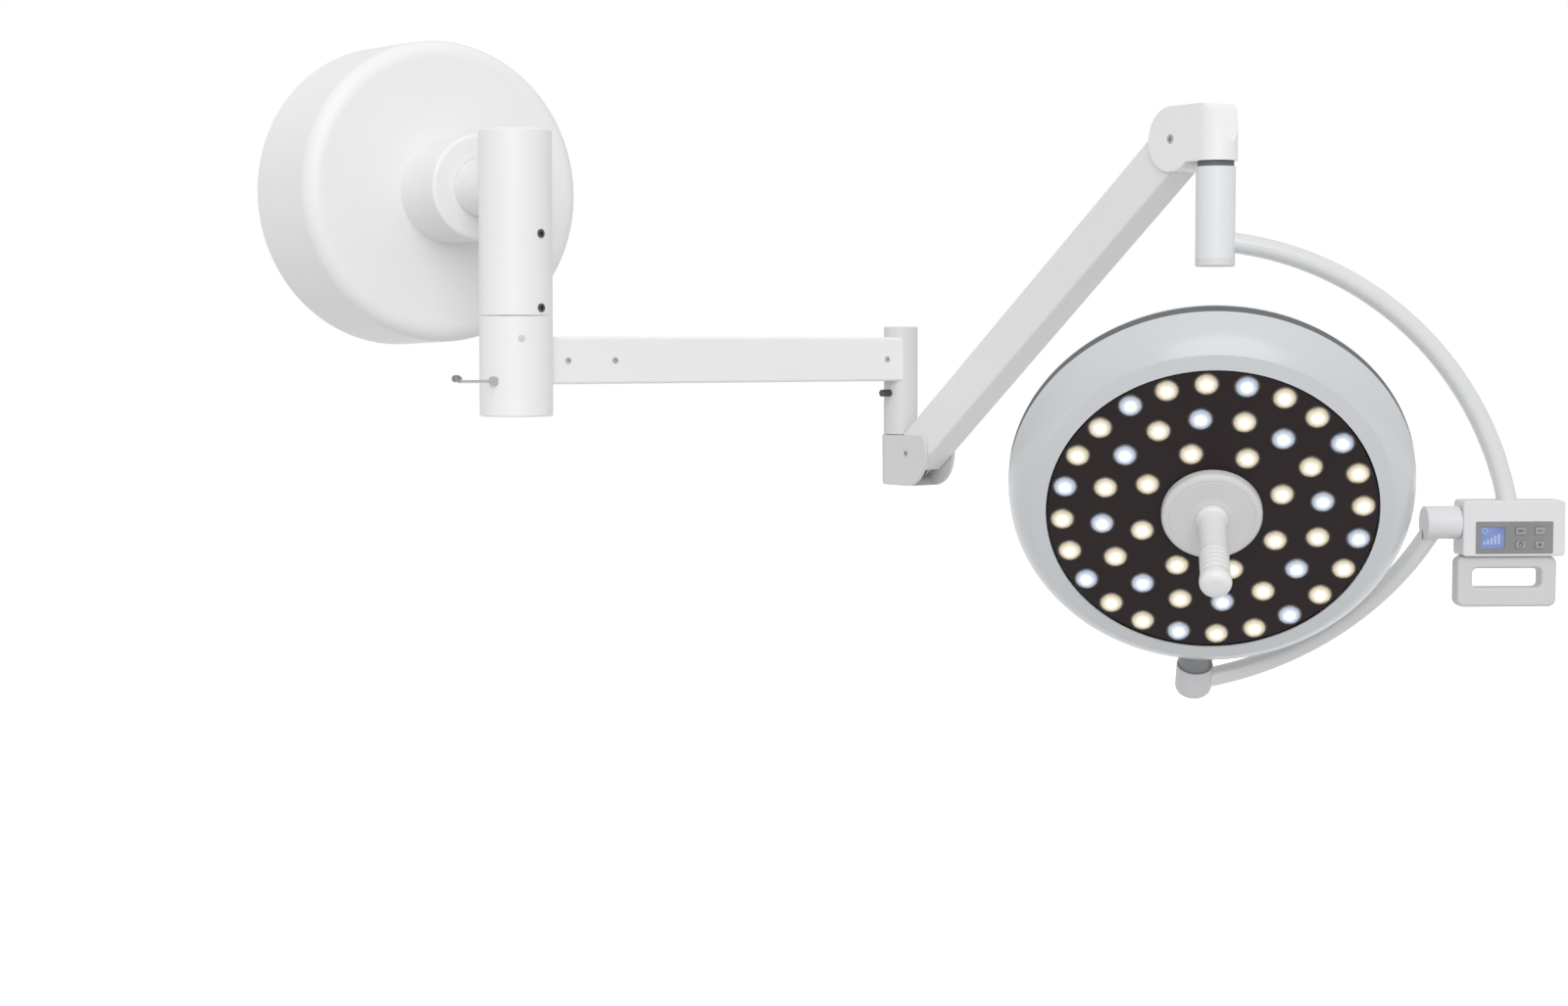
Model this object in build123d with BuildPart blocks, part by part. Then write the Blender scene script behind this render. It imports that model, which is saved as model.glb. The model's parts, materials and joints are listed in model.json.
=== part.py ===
from build123d import *
import os
from math import acos, asin, cos, degrees, radians, sin

# A wall-mounted dental operating light: a wall drum, a swinging level arm, a
# spring-balanced arm, a drop shaft with a round arc and a control box, and a
# round lamp head that hangs in a yoke.
# Millimetres. The origin is the centre of the wall plate's back face: +X runs
# along the wall to the right, -Y out of the wall, +Z up.

os.makedirs("parts", exist_ok=True)

# ---------------------------------------------------------------- fits
running_clearance = 0.05
joint_gap = 1.0
side_gap = 0.35
slip_gap = 0.2
loose_pivot_gap = 0.4
cut_margin = 1.0

# ---------------------------------------------------------------- wall side
plate_radius = 150.0
plate_thickness = 10.0
plate_bolt_circle = 250.0
plate_bolt_count = 6
plate_bolt_radius = 7.0
plate_bolt_start = 30.0
cable_hole_radius = 30.0
support_radius = 39.0
support_wall = 6.0
cover_back_radius = 207.0
cover_front_radius = 203.0
cover_depth = 160.0
cover_wall = 2.5
cover_edge_radius = 22.0
collar_radius = 70.0
collar_length = 100.0
collar_wall = 3.0
collar_edge_radius = 5.0
supply_size = (44.0, 140.0, 34.0)
supply_centre_x = -70.0
supply_edge = 3.0
supply_ear_length = 8.0
supply_ear_thickness = 3.0
supply_screw_radius = 2.2

# ---------------------------------------------------------------- column
column_reach = 356.0
column_radius = 47.5
column_wall = 6.0
column_top = 69.0
column_drop = 169.5
column_cap_thickness = 4.0
cap_plug_depth = 10.0
cap_edge = 1.5
column_bush_height = 20.0
upper_bush_rise = 94.5
brake_screw_radius = 5.5
brake_screw_proud = 1.5
brake_screw_azimuth = -75.0
brake_screw_rises = (9.5, 104.5)
brake_screw_socket = 2.6
socket_depth = 3.0

# ---------------------------------------------------------------- first arm
hub_height = 129.5
hub_cap_height = 9.0
hub_wall = 8.0
hub_web = 30.0
arm_spindle_radius = 20.0
arm_spindle_bore = 12.0
arm_spindle_top = -45.0
arm_spindle_flange_radius = 34.0
arm_spindle_flange = 6.0
first_arm_length = 616.0
first_arm_drop = 57.5
first_arm_section = (42.0, 62.0)
first_arm_wall = 3.0
first_arm_edge = 4.0
arm_stub_length = 105.0
arm_stub_wall = 4.0
hub_screw_reach = (65.0, 135.5)
end_screw_setback = 39.0
arm_screw_radius = 4.0
arm_screw_proud = 1.2
hub_plug_azimuth = -109.5
hub_plug_drop = 28.5
end_tube_radius = 24.0
end_tube_wall = 5.0
end_tube_rise = 46.0
end_tube_fall = 106.5
end_stub_length = 60.0
end_cap_thickness = 3.0
end_plug_depth = 6.0
end_bush_height = 20.0
upper_end_bush_drop = 15.0

# ---------------------------------------------------------------- hand brakes
lever_azimuth = -153.5
lever_drop = 83.5
lever_length = 82.0
lever_radius = 2.0
lever_boss_radius = 6.0
lever_boss_length = 5.0
lever_crank = 4.0
lever_thread_radius = 3.0
lever_knob_radius = 4.5
lever_knob_length = 11.0
end_knob_azimuth = -166.0
end_knob_drop = 48.0
end_knob_radius = 5.0
end_knob_length = 17.0
end_knob_stem_radius = 3.0
end_knob_grooves = 12
end_knob_groove_radius = 0.7

# ---------------------------------------------------------------- spring arm
lower_pivot_offset = 48.0
lower_pivot_drop = 24.9
arm_elevation = 36.5
arm_lowest = -43.5
arm_highest = 40.5
spring_arm_length = 681.0
spring_arm_section = (42.0, 60.0)
spring_arm_wall = 2.5
spring_arm_edge = 4.0
arm_mouth = 2.0
swing_spindle_radius = 15.0
swing_spindle_seat = 17.0
swing_spindle_drop = 11.0
swing_spindle_bore = 8.0
swing_clip_radius = 18.0
swing_clip_height = 3.0
knuckle_width = 52.0
lower_knuckle_radius = 46.0
lower_knuckle_heel_radius = 26.0
tongue_thickness = 10.0
tongue_radius = 26.0
tongue_neck = 24.0
pivot_pin_radius = 6.0
pivot_bush_wall = 2.0
pivot_bush_length = 7.0
link_offset = 17.0
strut_offset = 19.0
link_pin_radius = 4.0
strut_pin_radius = 3.5
ear_thickness = 4.0
fork_depth = 42.0
fork_web = 12.0
link_ear_radius = 6.5
link_rod_radius = 4.0
strut_axis_offset = -16.7
strut_slot_radius = 4.5
strut_slot_travel = 5.2
strut_ear_wall = 2.2
strut_rod_radius = 4.0
strut_rod_end = 205.0
cylinder_radius = 10.0
cylinder_start = 190.0
cylinder_length = 220.0
cylinder_wall = 1.5
cylinder_lug_length = 16.0
cylinder_pin_radius = 4.0

# ---------------------------------------------------------------- top knuckle
shaft_offset = 54.0
upper_knuckle_radius = 40.0
upper_knuckle_bottom = -29.0
upper_knuckle_nose_radius = 26.0
nose_slope_bottom = -7.0
nose_slope_top = 33.0
nose_slope_run = 14.0
swivel_bore_radius = 18.0
swivel_bore_top = 8.0

# ---------------------------------------------------------------- drop shaft
shaft_radius = 24.0
shaft_wall = 4.0
shaft_gap = 7.0
shaft_length = 121.0
shaft_cap_height = 10.0
swivel_spindle_radius = 14.0
swivel_spindle_bore = 7.0
swivel_spindle_foot = 74.0
swivel_flange_height = 12.0
seal_radius = 22.0
seal_height = 6.5

# ---------------------------------------------------------------- outer arc
arc_heading = -30.0
arc_radius = 403.0
arc_centre = (-27.0, -492.0)
arc_tube_radius = 12.5
arc_tube_wall = 2.5
tilt_axis_drop = 434.6

# ---------------------------------------------------------------- control box
box_near = 307.0
box_width = 128.0
box_height = 69.0
box_drop = 406.5
box_depth = 38.0
box_wall = 2.5
box_corner = 5.0
box_edge = 2.0
back_cover_thickness = 4.0
panel_width = 97.0
panel_height = 40.0
panel_thickness = 1.6
panel_margin = 3.0
panel_lip = 2.5
panel_corner = 2.0
lcd_size = (33.0, 30.0, 6.0)
lcd_inset = 5.0
window_border = 1.5
board_size = (90.0, 34.0, 1.6)
key_size = (12.0, 9.0, 5.0)
key_pitch = (24.0, 17.0)
key_centre_from_right = 29.0
key_proud = 1.2
key_corner = 2.0
key_clearance = 0.3
key_names = ("power_key", "mode_key", "brighter_key", "dimmer_key")
handle_width = 125.0
handle_height = 63.0
handle_shift = -6.0
handle_depth = 24.0
handle_corner = 10.0
handle_edge = 4.0
handle_slot = (86.0, 23.0)
handle_slot_corner = 6.0
handle_slot_drop = 15.5
tilt_axle_radius = 8.0
tilt_axle_depth = 9.0
tilt_axle_head_radius = 12.0
yoke_hub_radius = 20.5
yoke_hub_inner = 263.0
yoke_hub_end_wall = 5.0

# ---------------------------------------------------------------- yoke
yoke_tilt = 29.5
yoke_arc_radius = 354.0
yoke_arc_centre = (-57.5, 110.0)
yoke_tube_radius = 12.5
yoke_tube_wall = 2.5
socket_radius = 23.0
socket_top = 214.3
socket_bottom = 258.0
socket_round = 12.0
socket_bore_bottom = 243.0

# ---------------------------------------------------------------- lamp head
head_turn = -9.0
head_lean = 2.6
head_offset = 6.7
head_rise = 54.0
head_radius = 244.5
head_dome_depth = 55.0
head_dome_shoulder = (231.0, -24.0)
head_wall = 2.5
gasket_bottom = -9.0
gasket_top = 4.0
bezel_bulge = (235.5, 34.0)
bezel_shoulder = (215.5, 56.0)
bezel_lip = (197.5, 60.0)
gasket_depth = 8.0
journal_radius = 11.0
journal_collar_radius = 21.0
journal_end = 241.0
journal_depth = 12.0
panel_radius = 195.0
panel_back = 52.0
panel_front = 57.5
lens_radius = 14.0
lens_back = 46.0
lens_front = 61.5
lens_round = 4.5
lens_clearance = 0.2
led_board_radius = 187.0
led_board_back = 40.0
led_board_thickness = 3.0
led_spacer_radius = 5.0
led_spacer_count = 6
led_spacer_circle = 154.5
rings = ((178.0, 24, 6.0, "wwc"), (131.0, 16, 9.75, "cw"), (86.0, 8, 20.25, "w"))
disc_radius = 60.0
disc_thickness = 13.0
disc_round = 6.0
spigot_radius = 12.0
spigot_length = 65.0
handle_radius = 19.0
handle_length = 145.0
handle_bore_depth = 70.0
handle_round = 7.0


# ---------------------------------------------------------------- heights and planes
column_bottom = -column_drop
hub_top = column_bottom - joint_gap
hub_bottom = hub_top - hub_height
first_arm_height = hub_top - first_arm_drop
end_tube_top = first_arm_height + end_tube_rise
end_tube_bottom = first_arm_height - end_tube_fall
knuckle_top = end_tube_bottom - joint_gap
lower_pivot_height = knuckle_top - lower_pivot_drop


def spun(plane, direction, angle):
    """A plane turned about a direction through its own origin."""
    turn = Axis((0, 0, 0), direction)
    return Plane(
        origin=plane.origin,
        x_dir=plane.x_dir.rotate(turn, angle),
        z_dir=plane.z_dir.rotate(turn, angle),
    )


wall = Plane.XZ
column_base = Plane(origin=(0, -column_reach, 0))
end_base = Plane(origin=(first_arm_length, -column_reach, 0))
arm_base = Plane(origin=(0, -column_reach, first_arm_height), x_dir=(0, 1, 0), z_dir=(1, 0, 0))
outward = (0, -1, 0)
sideways = (-1, 0, 0)
pivot_reach = column_reach + lower_pivot_offset
lower_pivot = (first_arm_length, -pivot_reach, lower_pivot_height)
lower_side = Plane(origin=lower_pivot, x_dir=outward, z_dir=sideways)
arm_run = (0, -cos(radians(arm_elevation)), sin(radians(arm_elevation)))
arm_side = Plane(origin=lower_pivot, x_dir=arm_run, z_dir=sideways)
upper_pivot = arm_side.from_local_coords((spring_arm_length, 0, 0))
upper_side = Plane(origin=upper_pivot, x_dir=outward, z_dir=sideways)
shaft_y = upper_pivot.Y - shaft_offset
upper_knuckle_foot = upper_pivot.Z + upper_knuckle_bottom
shaft_top = (first_arm_length, shaft_y, upper_knuckle_foot - shaft_gap)
shaft_base = Plane(origin=shaft_top)
heading = radians(arc_heading)
arc_plane = Plane(
    origin=shaft_top,
    x_dir=(cos(heading), sin(heading), 0),
    z_dir=(sin(heading), -cos(heading), 0),
)
tilt_centre = arc_plane.from_local_coords((0, -tilt_axis_drop, 0))
tilt_plane = Plane(origin=tilt_centre, x_dir=arc_plane.x_dir, z_dir=arc_plane.z_dir)
tilt_across = Plane(origin=tilt_centre, x_dir=arc_plane.z_dir, z_dir=arc_plane.x_dir)
yoke_plane = spun(tilt_plane, tilt_plane.x_dir, yoke_tilt)
head_hang = Plane(
    origin=yoke_plane.from_local_coords((-head_offset, 0, 0)),
    x_dir=yoke_plane.x_dir,
    z_dir=yoke_plane.z_dir,
)
head_upright = spun(head_hang, head_hang.z_dir, head_lean)
turned = spun(head_upright, head_upright.y_dir, head_turn)
head_centre = turned.from_local_coords((0, head_rise, 0))
head_plane = Plane(origin=head_centre, x_dir=turned.x_dir, z_dir=turned.z_dir)
head_section = Plane(origin=head_centre, x_dir=turned.x_dir, z_dir=-turned.y_dir)
head_axis = Axis(head_centre, turned.z_dir)
journal_plane = Plane(origin=turned.origin, x_dir=turned.x_dir, z_dir=-turned.y_dir)


def radial_plane(base, azimuth, height, distance):
    """A plane that faces away from an upright axis, at an azimuth, height and distance."""
    angle = radians(azimuth)
    direction = Vector(cos(angle), sin(angle), 0)
    centre = base.origin + direction * distance + Vector(0, 0, height)
    return Plane(origin=centre, x_dir=(-sin(angle), cos(angle), 0), z_dir=direction)


# ================================================================ wall side
with BuildPart() as wall_plate:
    with BuildSketch(wall):
        Circle(plate_radius)
        Circle(cable_hole_radius, mode=Mode.SUBTRACT)
        with PolarLocations(plate_bolt_circle / 2, plate_bolt_count, start_angle=plate_bolt_start):
            Circle(plate_bolt_radius, mode=Mode.SUBTRACT)
    extrude(amount=plate_thickness)
wall_plate.part.label = "wall_plate"
export_step(wall_plate.part, "parts/wall_plate.step")

with BuildPart() as support_tube:
    with BuildSketch(wall.offset(plate_thickness)):
        Circle(support_radius)
        Circle(support_radius - support_wall, mode=Mode.SUBTRACT)
    extrude(amount=column_reach - plate_thickness)
    with BuildSketch(column_base.offset(column_bottom)):
        Circle(column_radius)
    extrude(amount=column_top - column_bottom, mode=Mode.SUBTRACT)
support_tube.part.label = "support_tube"
export_step(support_tube.part, "parts/support_tube.step")

cover_bore = support_radius + joint_gap
with BuildPart() as cover_shell:
    with BuildSketch(Plane.XY):
        with BuildLine():
            FilletPolyline(
                (cover_bore, -cover_depth),
                (cover_front_radius, -cover_depth),
                (cover_back_radius, 0),
                radius=cover_edge_radius,
            )
            Line((cover_back_radius, 0), (cover_back_radius - cover_wall, 0))
            FilletPolyline(
                (cover_back_radius - cover_wall, 0),
                (cover_front_radius - cover_wall, cover_wall - cover_depth),
                (cover_bore, cover_wall - cover_depth),
                radius=cover_edge_radius - cover_wall,
            )
            Line((cover_bore, cover_wall - cover_depth), (cover_bore, -cover_depth))
        make_face()
    revolve(axis=Axis.Y)
cover_shell.part.label = "cover_shell"
export_step(cover_shell.part, "parts/cover_shell.step")

with BuildPart() as cover_collar:
    with BuildSketch(wall.offset(cover_depth)):
        Circle(collar_radius)
    extrude(amount=collar_length)
    fillet(cover_collar.faces().sort_by(Axis.Y)[0].edges(), radius=collar_edge_radius)
    with BuildSketch(wall.offset(cover_depth)):
        Circle(collar_radius - collar_wall)
    extrude(amount=collar_length - collar_wall, mode=Mode.SUBTRACT)
    with BuildSketch(wall.offset(cover_depth)):
        Circle(support_radius + slip_gap)
    extrude(amount=collar_length, mode=Mode.SUBTRACT)
cover_collar.part.label = "cover_collar"
export_step(cover_collar.part, "parts/cover_collar.step")

supply_width, supply_length, supply_height = supply_size
with BuildPart() as power_supply:
    with BuildSketch(wall.offset(plate_thickness)):
        with Locations((supply_centre_x, 0)):
            Rectangle(supply_width, supply_length)
    extrude(amount=supply_height)
    fillet(power_supply.faces().sort_by(Axis.Y)[0].edges(), radius=supply_edge)
    with BuildSketch(wall.offset(plate_thickness)):
        with Locations((supply_centre_x, 0)):
            Rectangle(supply_width / 2, supply_length + 2 * supply_ear_length)
            with GridLocations(0, supply_length + supply_ear_length, 1, 2):
                Circle(supply_screw_radius, mode=Mode.SUBTRACT)
    extrude(amount=supply_ear_thickness)
power_supply.part.label = "power_supply"
export_step(power_supply.part, "parts/power_supply.step")

# ---------------------------------------------------------------- column
column_bore = column_radius - column_wall
with BuildPart() as column_tube:
    with BuildSketch(column_base.offset(column_bottom)):
        Circle(column_radius)
        Circle(column_bore, mode=Mode.SUBTRACT)
    extrude(amount=column_top - column_cap_thickness - column_bottom)
    with BuildSketch(wall.offset(column_reach)):
        Circle(cable_hole_radius)
    extrude(amount=-column_radius, mode=Mode.SUBTRACT)
    for rise in brake_screw_rises:
        with BuildSketch(radial_plane(column_base, brake_screw_azimuth, column_bottom + rise, 0)):
            Circle(brake_screw_radius)
        extrude(amount=column_radius, mode=Mode.SUBTRACT)
column_tube.part.label = "column_tube"
export_step(column_tube.part, "parts/column_tube.step")

with BuildPart() as column_cap:
    with BuildSketch(column_base.offset(column_top - column_cap_thickness)):
        Circle(column_radius)
    extrude(amount=column_cap_thickness)
    chamfer(column_cap.faces().sort_by(Axis.Z)[-1].edges(), length=cap_edge)
    with BuildSketch(column_base.offset(column_top - column_cap_thickness)):
        Circle(column_bore)
        Circle(column_bore - column_wall, mode=Mode.SUBTRACT)
    extrude(amount=-cap_plug_depth)
column_cap.part.label = "column_cap"
export_step(column_cap.part, "parts/column_cap.step")

with BuildPart() as column_bushes:
    for bottom in (column_bottom + upper_bush_rise, column_bottom):
        with BuildSketch(column_base.offset(bottom)):
            Circle(column_bore)
            Circle(arm_spindle_radius + running_clearance, mode=Mode.SUBTRACT)
        extrude(amount=column_bush_height)
column_bushes.part.label = "column_bushes"
export_step(column_bushes.part, "parts/column_bushes.step")

screw_tip = column_bore + slip_gap
with BuildPart() as column_brake_screws:
    for rise in brake_screw_rises:
        seat = radial_plane(column_base, brake_screw_azimuth, column_bottom + rise, screw_tip)
        length = column_radius + brake_screw_proud - screw_tip
        with BuildSketch(seat):
            Circle(brake_screw_radius)
        extrude(amount=length)
        with BuildSketch(seat.offset(length)):
            RegularPolygon(brake_screw_socket, 6)
        extrude(amount=-socket_depth, mode=Mode.SUBTRACT)
column_brake_screws.part.label = "column_brake_screws"
export_step(column_brake_screws.part, "parts/column_brake_screws.step")

# ================================================================ first arm
web_bottom = hub_top - hub_web
with BuildPart() as arm_spindle:
    with BuildSketch(column_base.offset(web_bottom)):
        Circle(arm_spindle_radius)
    extrude(amount=arm_spindle_top - web_bottom)
    with BuildSketch(column_base.offset(web_bottom - arm_spindle_flange)):
        Circle(arm_spindle_flange_radius)
    extrude(amount=arm_spindle_flange)
    with BuildSketch(column_base.offset(web_bottom - arm_spindle_flange)):
        Circle(arm_spindle_bore)
    extrude(amount=arm_spindle_top - web_bottom + arm_spindle_flange, mode=Mode.SUBTRACT)
    chamfer(arm_spindle.faces().sort_by(Axis.Z)[-1].outer_wire().edges(), length=cap_edge)
arm_spindle.part.label = "arm_spindle"
export_step(arm_spindle.part, "parts/arm_spindle.step")

arm_width, arm_tall = first_arm_section
stub_width = arm_width - 2 * first_arm_wall - 2 * slip_gap
stub_tall = arm_tall - 2 * first_arm_wall - 2 * slip_gap
screw_depth = first_arm_wall + arm_stub_wall
arm_screw_x = (*hub_screw_reach, first_arm_length - end_screw_setback)
hub_plug_height = hub_top - hub_plug_drop
lever_height = hub_top - lever_drop
end_knob_height = first_arm_height - end_knob_drop
with BuildPart() as hub_shell:
    with BuildSketch(column_base.offset(hub_bottom + hub_cap_height)):
        Circle(column_radius)
    extrude(amount=hub_top - hub_bottom - hub_cap_height)
    with BuildSketch(arm_base):
        Rectangle(stub_width, stub_tall)
    extrude(amount=column_radius + arm_stub_length)
    with BuildSketch(arm_base):
        Rectangle(stub_width - 2 * arm_stub_wall, stub_tall - 2 * arm_stub_wall)
    extrude(amount=column_radius + arm_stub_length, mode=Mode.SUBTRACT)
    with BuildSketch(column_base.offset(web_bottom)):
        Circle(column_radius - hub_wall)
    extrude(amount=hub_bottom + hub_cap_height - web_bottom, mode=Mode.SUBTRACT)
    with BuildSketch(column_base.offset(hub_top)):
        Circle(arm_spindle_radius)
    extrude(amount=-hub_web, mode=Mode.SUBTRACT)
    for x in hub_screw_reach:
        with BuildSketch(wall.offset(column_reach)):
            with Locations((x, first_arm_height)):
                Circle(arm_screw_radius)
        extrude(amount=arm_width, mode=Mode.SUBTRACT)
    with BuildSketch(radial_plane(column_base, hub_plug_azimuth, hub_plug_height, 0)):
        Circle(arm_screw_radius)
    extrude(amount=column_radius, mode=Mode.SUBTRACT)
    with BuildSketch(radial_plane(column_base, lever_azimuth, lever_height, 0)):
        Circle(lever_thread_radius + running_clearance)
    extrude(amount=column_radius, mode=Mode.SUBTRACT)
hub_shell.part.label = "hub_shell"
export_step(hub_shell.part, "parts/hub_shell.step")

with BuildPart() as hub_cap:
    with BuildSketch(column_base.offset(hub_bottom)):
        Circle(column_radius)
    extrude(amount=hub_cap_height)
    chamfer(hub_cap.faces().sort_by(Axis.Z)[0].edges(), length=cap_edge)
    with BuildSketch(column_base.offset(hub_bottom + hub_cap_height)):
        Circle(column_radius - hub_wall)
        Circle(column_radius - 2 * hub_wall, mode=Mode.SUBTRACT)
    extrude(amount=cap_plug_depth)
hub_cap.part.label = "hub_cap"
export_step(hub_cap.part, "parts/hub_cap.step")

with BuildPart() as first_arm_tube:
    with BuildSketch(arm_base):
        RectangleRounded(arm_width, arm_tall, first_arm_edge)
        Rectangle(arm_width - 2 * first_arm_wall, arm_tall - 2 * first_arm_wall, mode=Mode.SUBTRACT)
    extrude(amount=first_arm_length)
    with BuildSketch(column_base.offset(hub_bottom)):
        Circle(column_radius)
    extrude(amount=hub_top - hub_bottom, mode=Mode.SUBTRACT)
    with BuildSketch(end_base.offset(end_tube_bottom)):
        Circle(end_tube_radius)
    extrude(amount=end_tube_top - end_tube_bottom, mode=Mode.SUBTRACT)
    for x in arm_screw_x:
        with BuildSketch(wall.offset(column_reach)):
            with Locations((x, first_arm_height)):
                Circle(arm_screw_radius)
        extrude(amount=arm_width, mode=Mode.SUBTRACT)
first_arm_tube.part.label = "first_arm_tube"
export_step(first_arm_tube.part, "parts/first_arm_tube.step")

with BuildPart() as first_arm_screws:
    face = wall.offset(column_reach + arm_width / 2 + arm_screw_proud)
    for x in arm_screw_x:
        with BuildSketch(face):
            with Locations((x, first_arm_height)):
                Circle(arm_screw_radius)
        extrude(amount=-screw_depth)
        with BuildSketch(face):
            with Locations((x, first_arm_height)):
                RegularPolygon(arm_screw_radius / 2, 6)
        extrude(amount=-socket_depth, mode=Mode.SUBTRACT)
    plug = radial_plane(column_base, hub_plug_azimuth, hub_plug_height, column_radius - hub_wall / 2)
    with BuildSketch(plug):
        Circle(arm_screw_radius)
    extrude(amount=hub_wall / 2 + arm_screw_proud)
first_arm_screws.part.label = "first_arm_screws"
export_step(first_arm_screws.part, "parts/first_arm_screws.step")

end_bore = end_tube_radius - end_tube_wall
swing_spindle_top = end_tube_top - swing_spindle_drop
upper_end_bush_top = end_tube_top - upper_end_bush_drop
with BuildPart() as end_tube:
    with BuildSketch(end_base.offset(end_tube_bottom)):
        Circle(end_tube_radius)
    extrude(amount=end_tube_top - end_cap_thickness - end_tube_bottom)
    with BuildSketch(arm_base.offset(first_arm_length)):
        Rectangle(stub_width, stub_tall)
    extrude(amount=-end_stub_length)
    with BuildSketch(arm_base.offset(first_arm_length)):
        Rectangle(stub_width - 2 * arm_stub_wall, stub_tall - 2 * arm_stub_wall)
    extrude(amount=-end_stub_length, mode=Mode.SUBTRACT)
    with BuildSketch(end_base.offset(end_tube_bottom)):
        Circle(end_bore)
    extrude(amount=end_tube_top - end_tube_bottom, mode=Mode.SUBTRACT)
    with BuildSketch(wall.offset(column_reach)):
        with Locations((arm_screw_x[-1], first_arm_height)):
            Circle(arm_screw_radius)
    extrude(amount=arm_width, mode=Mode.SUBTRACT)
    with BuildSketch(radial_plane(end_base, end_knob_azimuth, end_knob_height, 0)):
        Circle(end_knob_stem_radius + running_clearance)
    extrude(amount=end_tube_radius, mode=Mode.SUBTRACT)
end_tube.part.label = "end_tube"
export_step(end_tube.part, "parts/end_tube.step")

with BuildPart() as end_tube_cap:
    with BuildSketch(end_base.offset(end_tube_top - end_cap_thickness)):
        Circle(end_tube_radius)
    extrude(amount=end_cap_thickness)
    chamfer(end_tube_cap.faces().sort_by(Axis.Z)[-1].edges(), length=cap_edge)
    with BuildSketch(end_base.offset(end_tube_top - end_cap_thickness)):
        Circle(end_bore)
        Circle(end_bore - end_cap_thickness, mode=Mode.SUBTRACT)
    extrude(amount=-end_plug_depth)
end_tube_cap.part.label = "end_tube_cap"
export_step(end_tube_cap.part, "parts/end_tube_cap.step")

with BuildPart() as end_bushes:
    for bottom in (end_tube_bottom, upper_end_bush_top - end_bush_height):
        with BuildSketch(end_base.offset(bottom)):
            Circle(end_bore)
            Circle(swing_spindle_radius + running_clearance, mode=Mode.SUBTRACT)
        extrude(amount=end_bush_height)
end_bushes.part.label = "end_bushes"
export_step(end_bushes.part, "parts/end_bushes.step")

# ---------------------------------------------------------------- hand brakes
lever_seat = radial_plane(column_base, lever_azimuth, lever_height, column_radius)
lever_tip = lever_length - lever_knob_length
with BuildPart() as brake_lever:
    with BuildSketch(lever_seat):
        Circle(lever_thread_radius)
    extrude(amount=-hub_wall)
    with BuildSketch(lever_seat.offset(slip_gap)):
        Circle(lever_boss_radius)
    extrude(amount=lever_boss_length)
    with BuildSketch(lever_seat):
        Circle(lever_radius)
    extrude(amount=lever_tip)
    with BuildSketch(lever_seat.offset(lever_tip)):
        with Locations((0, lever_crank / 2)):
            SlotCenterToCenter(lever_crank, 2 * lever_radius, rotation=90)
    extrude(amount=2 * lever_radius)
brake_lever.part.label = "brake_lever"
export_step(brake_lever.part, "parts/brake_lever.step")

with BuildPart() as lever_knob:
    with BuildSketch(lever_seat.offset(lever_tip + 2 * lever_radius)):
        with Locations((0, lever_crank)):
            Circle(lever_knob_radius)
    extrude(amount=lever_knob_length)
    fillet(lever_knob.edges().filter_by(GeomType.CIRCLE), radius=lever_knob_radius / 2)
lever_knob.part.label = "lever_knob"
export_step(lever_knob.part, "parts/lever_knob.step")

knob_seat = radial_plane(end_base, end_knob_azimuth, end_knob_height, end_tube_radius)
with BuildPart() as end_brake_knob:
    with BuildSketch(knob_seat.offset(joint_gap)):
        Circle(end_knob_radius)
        with PolarLocations(end_knob_radius, end_knob_grooves):
            Circle(end_knob_groove_radius, mode=Mode.SUBTRACT)
    extrude(amount=end_knob_length)
    with BuildSketch(knob_seat.offset(joint_gap)):
        Circle(end_knob_stem_radius)
    extrude(amount=-end_tube_wall - joint_gap)
end_brake_knob.part.label = "end_brake_knob"
export_step(end_brake_knob.part, "parts/end_brake_knob.step")

# ================================================================ swing fork
with BuildPart() as swing_spindle:
    with BuildSketch(end_base.offset(knuckle_top - swing_spindle_seat)):
        Circle(swing_spindle_radius)
    extrude(amount=swing_spindle_top - knuckle_top + swing_spindle_seat)
    with BuildSketch(end_base.offset(upper_end_bush_top + running_clearance)):
        Circle(swing_clip_radius)
    extrude(amount=swing_clip_height)
    with BuildSketch(end_base.offset(knuckle_top - swing_spindle_seat)):
        Circle(swing_spindle_bore)
    extrude(amount=swing_spindle_top - knuckle_top + swing_spindle_seat, mode=Mode.SUBTRACT)
swing_spindle.part.label = "swing_spindle"
export_step(swing_spindle.part, "parts/swing_spindle.step")

arm_half = spring_arm_section[1] / 2
fork_half = spring_arm_section[0] / 2 + side_gap
sweep_half = arm_half + joint_gap
knuckle_half = knuckle_width / 2
tongue_half = tongue_thickness / 2
sweep_reach = 3 * lower_knuckle_radius


def sweep_outline(start_angle):
    """The side view of the space that the spring arm's end sweeps about its pivot."""
    Circle(sweep_half)
    for angle in (arm_lowest, 0, arm_highest):
        with Locations(Location((0, 0, 0), (0, 0, start_angle + angle))):
            Rectangle(sweep_reach, 2 * sweep_half, align=(Align.MIN, Align.CENTER))


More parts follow.
